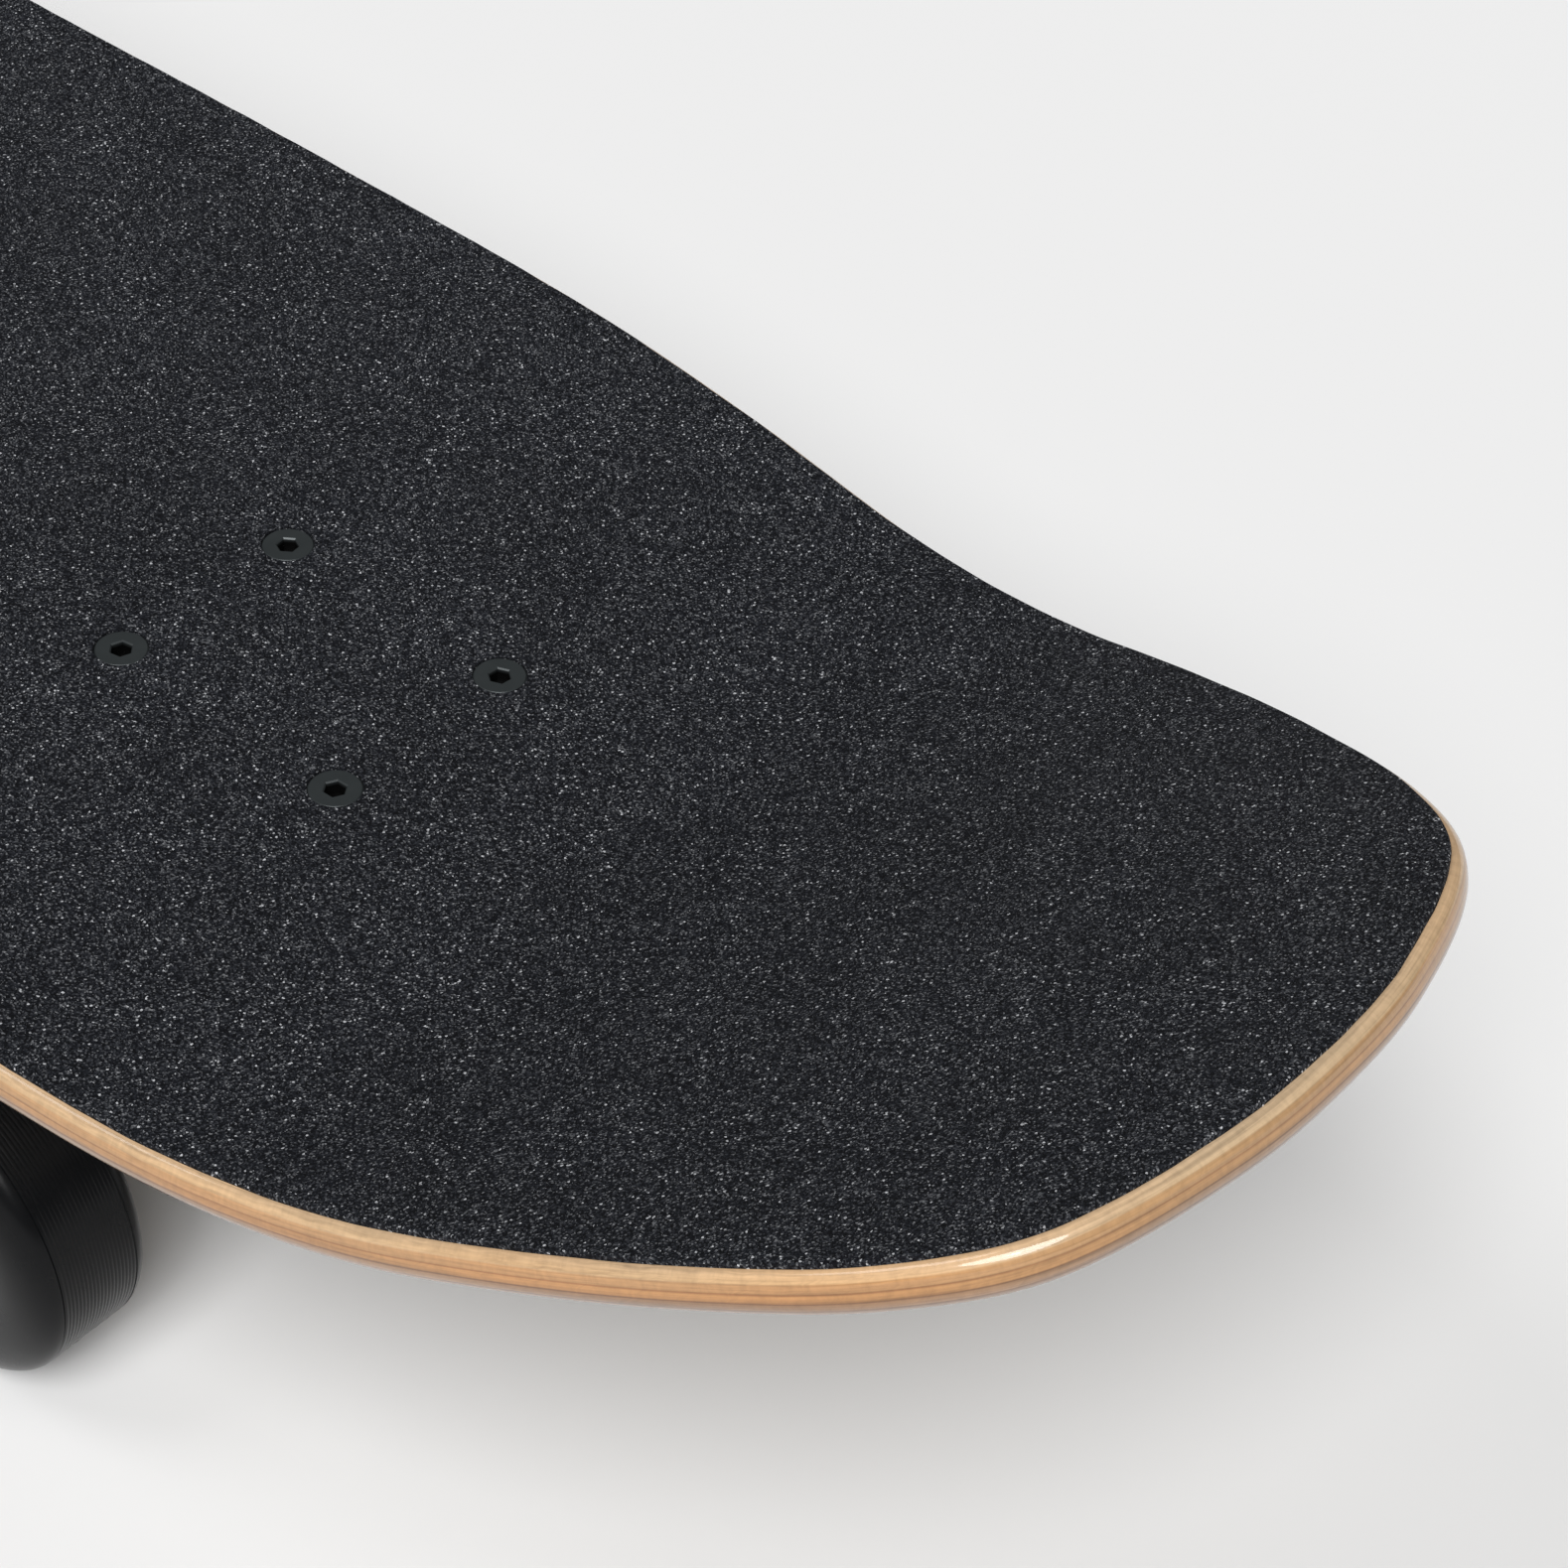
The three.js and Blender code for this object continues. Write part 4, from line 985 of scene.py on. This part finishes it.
def cup_shape():
    """A rubber cup, hollowed to a ball's shape."""
    hollow = [(6.6 * math.sin(a), 6.6 * math.cos(a)) for a in (math.pi / 2 * k / 12 for k in range(13))]
    return lathe([*hollow, (7.9, 0), (8.2, 0.4), (8.2, 7.5), (7.9, 7.8), (0, 7.8)])


PIN_HOLE = KINGPIN_RADIUS + GAP
BUSHING_HOLE = 6.1  # wide enough for the kingpin when the hanger tilts
BUSHINGS = {
    "board": (17.5, 3.5, [(BUSHING_HOLE, 3.5), (10.2, 3.5), (11, 5.2), (11.1, 10.5), (11, 15.8),
                          (10.2, 17.5), (BUSHING_HOLE, 17.5)]),
    "road": (-12.5, -3.5, [(BUSHING_HOLE, -12.5), (8.4, -12.5), (9.4, -8), (10.5, -4.6), (10.3, -3.5),
                           (BUSHING_HOLE, -3.5)]),
}
WASHERS = {
    "board": [(PIN_HOLE, 17.8), (11.15, 17.8), (11.3, 16.2), (12, 16.2), (12, 19.3), (PIN_HOLE, 19.3)],
    "road": [(PIN_HOLE, -14.3), (10.2, -14.3), (10.2, -11.6), (9.5, -11.6), (9.2, -12.8), (PIN_HOLE, -12.8)],
}


def add_truck(end):
    place = truck_place(end)
    to_board = Matrix.Scale(MM, 4) @ place @ Matrix.Scale(1 / MM, 4)
    half, bore = HANGER_HALF[end], AXLE_RADIUS[end] + GAP
    on_pin = aim(RING_CENTRE, KINGPIN_UP)

    base = cast(f"{end}_baseplate_fine", baseplate_shape(), 7)
    cut_away(
        base,
        box_shape((200, 200, 40), (0, 0, TRUCK_HEIGHT + 20)),
        between(on_kingpin(15), on_kingpin(28), PIN_HOLE),
        placed(lofted([hex_ring(14.9, 26.7, 48), hex_ring(14.9, 48, 48)]), on_pin),
        between(on_stem(-8), on_stem(8.1), 8.5),
        *[between((x, y, 30), (x, y, 70), 2.7, sides=40) for x, y in bolt_centres()],
    )
    base.data.transform(to_board)
    show(base, "cast_metal", "deck", [f"{end}_baseplate"], sharp=45)

    arm = cast(f"{end}_hanger_fine", hanger_shape(half, bore, end), 8)
    cut_away(
        arm,
        between((0, -half - 5, 0), (0, half + 5, 0), bore),
        between(on_kingpin(-12), on_kingpin(12), 6.5),
        *[between((0, j * half, 0), (0, j * (half + 6), 0), 14) for j in (-1, 1)],
    )
    arm.data.transform(to_board)
    show(arm, "cast_metal", f"{end}_hanger", [f"{end}_hanger"], sharp=45)

    stand_in(f"{end}_pivot_cup", placed(cup_shape(), place @ aim(PIVOT, STEM_UP)), "rubber")
    for where, (held, pressed, profile) in BUSHINGS.items():
        bending(f"{end}_{where}_bushing", placed(soft_lathe(profile, 0.8, 4), place @ on_pin), "bushing")
    for where, profile in WASHERS.items():
        stand_in(f"{end}_{where}_washer", placed(soft_lathe(profile, 0.35, 4), place @ on_pin), "steel")
    stand_in(f"{end}_kingpin", placed(kingpin_shape(), place @ on_pin), "black_steel", sharp=30)
    nut = placed(hex_nut(14.3, PIN_HOLE - 0.1, 14.6, 21.1, 1.8), place @ aim(RING_CENTRE, -KINGPIN_UP))
    stand_in(f"{end}_kingpin_nut", nut, "black_steel", sharp=30)
    stand_in(f"{end}_axle", placed(axle_shape(AXLE_RADIUS[end]), place), "steel", sharp=30)


for end, _ in ENDS:
    add_truck(end)

# ------------------------------------------------------------------ wheels


def tread(half):
    """Points across a tread with fine turned grooves."""
    pitch, groove, step = 0.81, 0.08, 0.125
    count = round(2 * half / step)
    points = []
    for k in range(count + 1):
        y = half - 2 * half * k / count
        points.append((WHEEL_RADIUS - groove * (0.5 + 0.5 * math.cos(2 * math.pi * y / pitch)) ** 2, y))
    return points


def plain_wheel():
    lip = [(23.7 + 11.3 * math.sin(a), 8.1 + 5.6 * math.cos(a))
           for a in (math.pi / 2 * k / 28 for k in range(28))]
    hub = [(9, 4.7), (11.3, 4.7), (11.3, 12), (11.7, 12.4), (12.6, 12.5), (13.2, 12.8), (14, 12.9),
           (19.5, 12.9), (20.4, 13.0), (21.2, 13.4), (22.4, 13.65)]
    seam = [(34.86, 8.4), (34.72, 8.25)]
    face = hub + lip + seam
    return lathe(face + tread(8.1) + [(r, -y) for r, y in reversed(face)], 144)


def bearing(inner, outer, low, high):
    """Two races with a shield set a little into each side."""
    races = [
        (inner, low), (inner + 1.9, low), (inner + 2.1, low + 0.45), (outer - 1.8, low + 0.45),
        (outer - 1.6, low), (outer, low), (outer, high), (outer - 1.6, high), (outer - 1.8, high - 0.45),
        (inner + 2.1, high - 0.45), (inner + 1.9, high), (inner, high),
    ]
    return soft_lathe(races, 0.25, 2)


def ring(inner, outer, low, high, soften=0.2):
    return soft_lathe([(inner, low), (outer, low), (outer, high), (inner, high)], soften)


def hub_tyre():
    edge = [(28.3, 22.5), (31.6, 22.5)]
    corner = [(31.6 + 3.4 * math.sin(a), 17 + 5.5 * math.cos(a))
              for a in (math.pi / 2 * k / 16 for k in range(1, 16))]
    face = edge + corner
    return lathe(face + tread(17) + [(r, -y) for r, y in reversed(face)], 144)


def hub_can():
    outline = [(24.3, -20), (28, -20), (28, 21), (27, 22.2), (25.4, 22.2), (24.6, 21), (15, 21),
               (13.4, 20.2), (12.8, 19), (8.1, 19), (8.1, 15.5), (24.3, 15.5)]
    return soft_lathe(outline, 0.5, sides=144)


def cover_shape():
    outline = [(8.3, -22.8), (11, -22.8), (12, -22.1), (24.6, -22.1), (25.4, -22.8), (28, -22.8),
               (28, -20.3), (8.3, -20.3)]
    return soft_lathe(outline, 0.4, sides=144)


def stator_shape():
    """Nine wound teeth."""
    shapes = []
    for i in range(9):
        turn = Matrix.Rotation(2 * math.pi * i / 9, 4, "Y")
        shapes.append(placed(box_shape((7.5, 24, 8), (16.5, 0, 0)), turn))
        shapes.append(placed(box_shape((1.6, 26, 13), (22.2, 0, 0)), turn))
    return joined(*shapes, ring(8.4, 13.2, -13, 13))


def screw(radius, height, across_flats):
    outline = [(radius * 0.98, -1), (radius, 0), (radius, 0.45 * height), (0.9 * radius, 0.8 * height),
               (0.72 * radius, height)]
    return socket_head(outline, across_flats, 0.75 * height)


def add_plain_wheel(label, hub):
    wheel = f"{label}_wheel"
    stand_in(wheel, placed(plain_wheel(), hub), "urethane", sharp=25)
    for where, start, seal, washer in (("inner", -12, -11.62, -13.0), ("outer", 5, 11.62, 12.05)):
        stand_in(f"{label}_{where}_bearing", placed(bearing(4.3, 11, start, start + 7), hub), "steel")
        cover = placed(ring(6.5, 9.1, seal - 0.06, seal + 0.06, 0.02), hub)
        piece(f"{label}_{where}_seal", cover, "rubber", wheel)
        speed_washer = placed(ring(4.3, 6.4, washer, washer + 0.95), hub)
        piece(f"{label}_{where}_washer", speed_washer, "steel", "front_hanger")
    stand_in(f"{label}_spacer", placed(ring(4.3, 5.8, -4.7, 4.7), hub), "steel")


def add_hub_motor(label, hub):
    wheel = f"{label}_wheel"
    circle = Matrix.Translation((0, 0, 19.4))
    stand_in(f"{label}_tyre", placed(hub_tyre(), hub), "urethane", sharp=25)
    can = as_object(f"{label}_rotor_can_fine", placed(hub_can(), hub))
    face_outwards(can)
    pocket = between((0, 19.4, 0), (0, 24, 0), 3.6, 4.2, 48)
    cut_away(can, *[placed(pocket, hub @ Matrix.Rotation(math.pi * (2 * k + 1) / 6, 4, "Y") @ circle)
                    for k in range(6)])
    show(can, "black_aluminium", wheel, [f"{label}_rotor_can"])
    stand_in(f"{label}_rotor_cover", placed(cover_shape(), hub), "black_aluminium")
    stand_in(f"{label}_stator", placed(stator_shape(), hub), "copper")
    inner = HANGER_HALF["rear"] + GAP - REAR_WHEEL_CENTRE
    piece(f"{label}_motor_neck", placed(ring(5.3, 8, inner, 13, 0.4), hub), "steel", "rear_hanger")
    piece(f"{label}_bearing", placed(bearing(5.25, 8.05, 15.6, 18.9), hub), "steel", wheel)
    for k in range(6):
        spot = hub @ Matrix.Rotation(math.pi * k / 3, 4, "Y") @ circle
        on_face = spot @ Matrix.Translation((0, 21.05, 0))
        on_back = spot @ Matrix.Translation((0, -22.15, 0)) @ Matrix.Rotation(math.pi, 4, "X")
        for kind, head, at in (("can", (2.3, 1.3, 1.9), on_face), ("cover", (1.9, 1.1, 1.6), on_back)):
            piece(f"{label}_{kind}_screw_{k + 1}", placed(screw(*head), at), "black_steel", wheel, sharp=30)


WHEEL_CENTRE = {"front": FRONT_WHEEL_CENTRE, "rear": REAR_WHEEL_CENTRE}
for end, side in ENDS:
    for name, left in (("left", 1), ("right", -1)):
        centre = WHEEL_CENTRE[end]
        turn = Matrix.Identity(4) if left > 0 else Matrix.Rotation(math.pi, 4, "Z")
        hub = Matrix.Translation(board(side * WHEELBASE / 2, left * centre, WHEEL_RADIUS)) @ turn
        face = NUT_FACE - centre
        nut = placed(hex_nut(12.7, 4.2, face, face + 7, 1.9), hub)
        stand_in(f"{end}_{name}_axle_nut", nut, "steel", sharp=30)
        add_wheel = add_plain_wheel if end == "front" else add_hub_motor
        add_wheel(f"{end}_{name}", hub)

# ------------------------------------------------------------------ case, button, charge port and cables


def case_level(length, width, corner, z):
    return [(x, y, z) for x, y in rounded_rectangle(length, width, corner, 14)]


def case_shape():
    length, width = CASE_SIZE
    bend = [(4 * (1 - math.sin(a)), 4 * (1 - math.cos(a))) for a in (math.pi / 2 * k / 8 for k in range(9))]
    levels = [case_level(length - 2 * i, width - 2 * i, 18 - i, CASE_BOTTOM + z) for i, z in bend]
    return lofted(levels + [case_level(length, width, 18, GRIP_TOP)])


def flange_shape():
    length, width = (size + 2 * CASE_FLANGE for size in CASE_SIZE)
    levels = ((0.8, DECK_BOTTOM - 3.5), (0.2, DECK_BOTTOM - 3.2), (0, DECK_BOTTOM - 2.7), (0, GRIP_TOP))
    return lofted([case_level(length - 2 * i, width - 2 * i, 26 - i, z) for i, z in levels])


def rib_under_case(y):
    levels = ((0.7, CASE_BOTTOM - 0.9), (0.2, CASE_BOTTOM - 0.6), (0, CASE_BOTTOM + 1))
    rib = lofted([[(px, py, z) for px, py in rounded_rectangle(170 - 2 * i, 7 - 2 * i, 3.5 - i, 6)]
                  for i, z in levels])
    return placed(rib, Matrix.Translation(board(0, y, 0)))


def across(x, start, end, radius, end_radius=None):
    """A cylinder through the case's side, from one distance across to the other."""
    return between(board(x, start, PORT_HEIGHT), board(x, end, PORT_HEIGHT), radius, end_radius)


def add_case():
    length, width = CASE_SIZE
    at_middle = Matrix.Translation((BOARD_SHIFT, 0, 0))
    case = as_object("case_fine", placed(case_shape(), at_middle))
    face_outwards(case)
    button_boss = across(BUTTON_X, SIDE + 1, SIDE - 1.2, 9, 8.6)
    combined(case, "UNION", placed(flange_shape(), at_middle), button_boss,
             *[rib_under_case(y) for y in (-44, -22, 0, 22, 44)])
    inside = rounded_rectangle(length - 2 * CASE_WALL, width - 2 * CASE_WALL, 15, 14)
    ends = [board(x - length / 2, 0, PORT_HEIGHT) for x in (-6, 8)]
    cable_holes = [between(*[p + Y_AXIS * y for p in ends], 5.2) for y in (-CABLE_Y, CABLE_Y)]
    cut_away(case, placed(prism(inside, CASE_BOTTOM + CASE_WALL, GRIP_TOP + 1), at_middle),
             deck_slab([(0, -20), (0, DECK_THICKNESS + GAP)], 120, 16),
             across(BUTTON_X, SIDE - 10, SIDE + 10, 6.3), across(PORT_X, SIDE - 10, SIDE + 10, 8.3),
             *cable_holes)
    show(case, "case_plastic", "deck", ["case_tray"], sharp=30)

    spots = [(x, j * (width + CASE_FLANGE) / 2) for x in (-100, -50, 0, 50, 100) for j in (-1, 1)]
    spots += [(j * (length + CASE_FLANGE) / 2, y) for y in (-38, 38) for j in (-1, 1)]
    for i, spot in enumerate(spots):
        here = Matrix.Translation(board(*spot, DECK_BOTTOM - 3.55)) @ DOWNWARDS
        head = placed(screw(3.4, 2.1, 2.5), here)
        piece(f"case_screw_{i + 1}", head, "black_steel", "deck", sharp=30)


def side_place(x):
    """Turns +Y out of the case's right side."""
    return Matrix.Translation(board(x, SIDE, PORT_HEIGHT)) @ Matrix.Rotation(math.pi, 4, "Z")


def port_shape():
    socket = [(0, -9), (8, -9), (8, 0.3), (10.5, 0.3), (10.5, 1.8),
              (5.2, 1.8), (4.6, 1.3), (4.6, -7.5), (0, -7.5)]
    ears = [box_shape((1.8, 3.6, 5.4), (i * 5.4, 3.2, 11.5)) for i in (-1, 1)]
    pin = between((0, -7.6, 0), (0, -1.5, 0), 1.1, 1.0, 32)
    return joined(soft_lathe(socket), *ears, pin)


def cap_shape():
    disc = [(0, 2.1), (9.2, 2.1), (9.4, 2.3), (9.2, 3.9), (8.4, 4.6), (6.6, 4.6), (6.2, 4.3), (0, 4.3)]
    strap = box_shape((7.6, 2.0, 6), (0, 3.4, 9.4))
    along_hinge = Matrix.Translation((0, 3.4, 12.4)) @ Matrix.Rotation(math.pi / 2, 4, "Z")
    knuckle = soft_lathe([(0, -4.2), (1.6, -4.2), (1.6, 4.2), (0, 4.2)], sides=48)
    return joined(soft_lathe(disc, 0.4, 4), strap, placed(knuckle, along_hinge))


def button_shape():
    return soft_lathe([(0, -4.5), (6, -4.5), (6, 1.7), (5.4, 2.3), (4.2, 2.4), (3.8, 2.2), (0, 2.2)], steps=4)


def hose(path, radius, sides=32):
    """Rings along a path, kept from twisting."""
    rings = []
    side_way = Vector((0, 0, 1))
    for i, point in enumerate(path):
        ahead = (path[min(i + 1, len(path) - 1)] - path[max(i - 1, 0)]).normalized()
        side_way = (side_way - ahead * side_way.dot(ahead)).normalized()
        other = ahead.cross(side_way)
        angles = (2 * math.pi * k / sides for k in range(sides))
        rings.append([point + (side_way * math.cos(a) + other * math.sin(a)) * radius for a in angles])
    return lofted(rings)


def add_cable(name, j):
    """From the rear hanger to a grommet in the case's wall, on the left (j is 1) or the right (-1)."""
    steps = 14
    case_end = -WHEELBASE / 2 + 76 + 33 + GAP
    route = [(-14.3, GLAND_Y, 0), (-24, GLAND_Y, 0.5), (-42, 36, 6), (-56, 31, 19), (-69, 26, 31.5),
             (-80, CABLE_Y, 35), (-90, CABLE_Y, 35), (case_end, CABLE_Y, 35)]
    points = [board(-x - WHEELBASE / 2, j * y, z + WHEEL_RADIUS) for x, y, z in route]
    path = [Vector(p) for p in catmull(points, steps, closed=False)]
    bending(f"{name}_motor_cable", hose(path, CABLE_RADIUS), "rubber")
    wall = Matrix.Translation(board(-CASE_SIZE[0] / 2, j * CABLE_Y, PORT_HEIGHT))
    grommet = [(3.75, -3.4), (5.1, -3.4), (5.1, 0.3), (7.6, 0.3),
               (7.4, 1.8), (5.4, 3.6), (4.3, 4.8), (3.75, 4.8)]
    grommet_place = wall @ Matrix.Rotation(math.pi / 2, 4, "Z")
    piece(f"{name}_grommet", placed(soft_lathe(grommet, 0.4, sides=64), grommet_place), "rubber", "deck")


add_case()
stand_in("charge_port", placed(port_shape(), side_place(PORT_X)), "black_steel")
stand_in("charge_cap", placed(cap_shape(), side_place(PORT_X)), "rubber")
stand_in("power_button", placed(button_shape(), side_place(BUTTON_X)), "steel")
add_cable("left", 1)
add_cable("right", -1)

# ------------------------------------------------------------------ camera, floor and light

CAMERA_PLACE = Vector((571.56, -337.88, 523.06))
CAMERA_AZIMUTH = math.radians(-52.97)
CAMERA_ELEVATION = math.radians(42.22)
CAMERA_ROLL = math.radians(4.336)
CAMERA_LENS = 82.69


def add_camera():
    back = Vector((
        math.cos(CAMERA_AZIMUTH) * math.cos(CAMERA_ELEVATION),
        math.sin(CAMERA_AZIMUTH) * math.cos(CAMERA_ELEVATION),
        math.sin(CAMERA_ELEVATION),
    ))
    right = (-back).cross(Vector((0, 0, 1))).normalized()
    up = back.cross(right)
    level = Matrix((right, up, back)).transposed().to_4x4()
    data = bpy.data.cameras.new("camera")
    data.lens = CAMERA_LENS
    data.clip_start = 0.01
    made = bpy.data.objects.new("camera", data)
    made.matrix_world = Matrix.Translation(CAMERA_PLACE * MM) @ level @ Matrix.Rotation(CAMERA_ROLL, 4, "Z")
    bpy.context.scene.collection.objects.link(made)
    bpy.context.scene.camera = made


def add_floor():
    side = 30000
    corners = [(-side, -side, 0), (side, -side, 0), (side, side, 0), (-side, side, 0)]
    made = as_object("floor", (corners, [(0, 1, 2, 3)]))
    s = Shader("floor", (0.78, 0.78, 0.78), 0.9, specular_ior_level=0.1)
    made.data.materials.append(s.finish(s.mix(s.noise(3, 2), (0.775, 0.775, 0.775), (0.785, 0.785, 0.785))))


def add_lamp(name, energy, width, azimuth, elevation):
    """A distant soft source: its width and its direction in degrees."""
    data = bpy.data.lights.new(name, "SUN")
    data.energy = energy
    data.angle = math.radians(width)
    lamp = bpy.data.objects.new(name, data)
    azimuth, elevation = math.radians(azimuth), math.radians(elevation)
    level = math.cos(elevation)
    towards = Vector((math.cos(azimuth) * level, math.sin(azimuth) * level, math.sin(elevation)))
    lamp.rotation_euler = towards.to_track_quat("Z", "Y").to_euler()
    bpy.context.scene.collection.objects.link(lamp)


def add_light():
    """A large soft key, a weak light on the far edges, a small one that glints, and a dim room."""
    add_lamp("key", 3.62, 38, -56, 50)
    add_lamp("rim", 0.55, 24, -147, 58)
    add_lamp("glint", 0.13, 5, -58, 48)
    world = bpy.data.worlds.new("room")
    world.use_nodes = True
    world.node_tree.nodes["Background"].inputs["Color"].default_value = (0.035, 0.035, 0.035, 1)
    bpy.context.scene.world = world
    bpy.context.scene.view_settings.view_transform = "Standard"


add_camera()
add_floor()
add_light()

for node in frame["nodes"].values():
    slot = next(s["material_slot"] for s in frame["record"]["subparts"] if s["node"] == node.name)
    node.data.materials.clear()
    node.data.materials.append(LOOKS[slot])
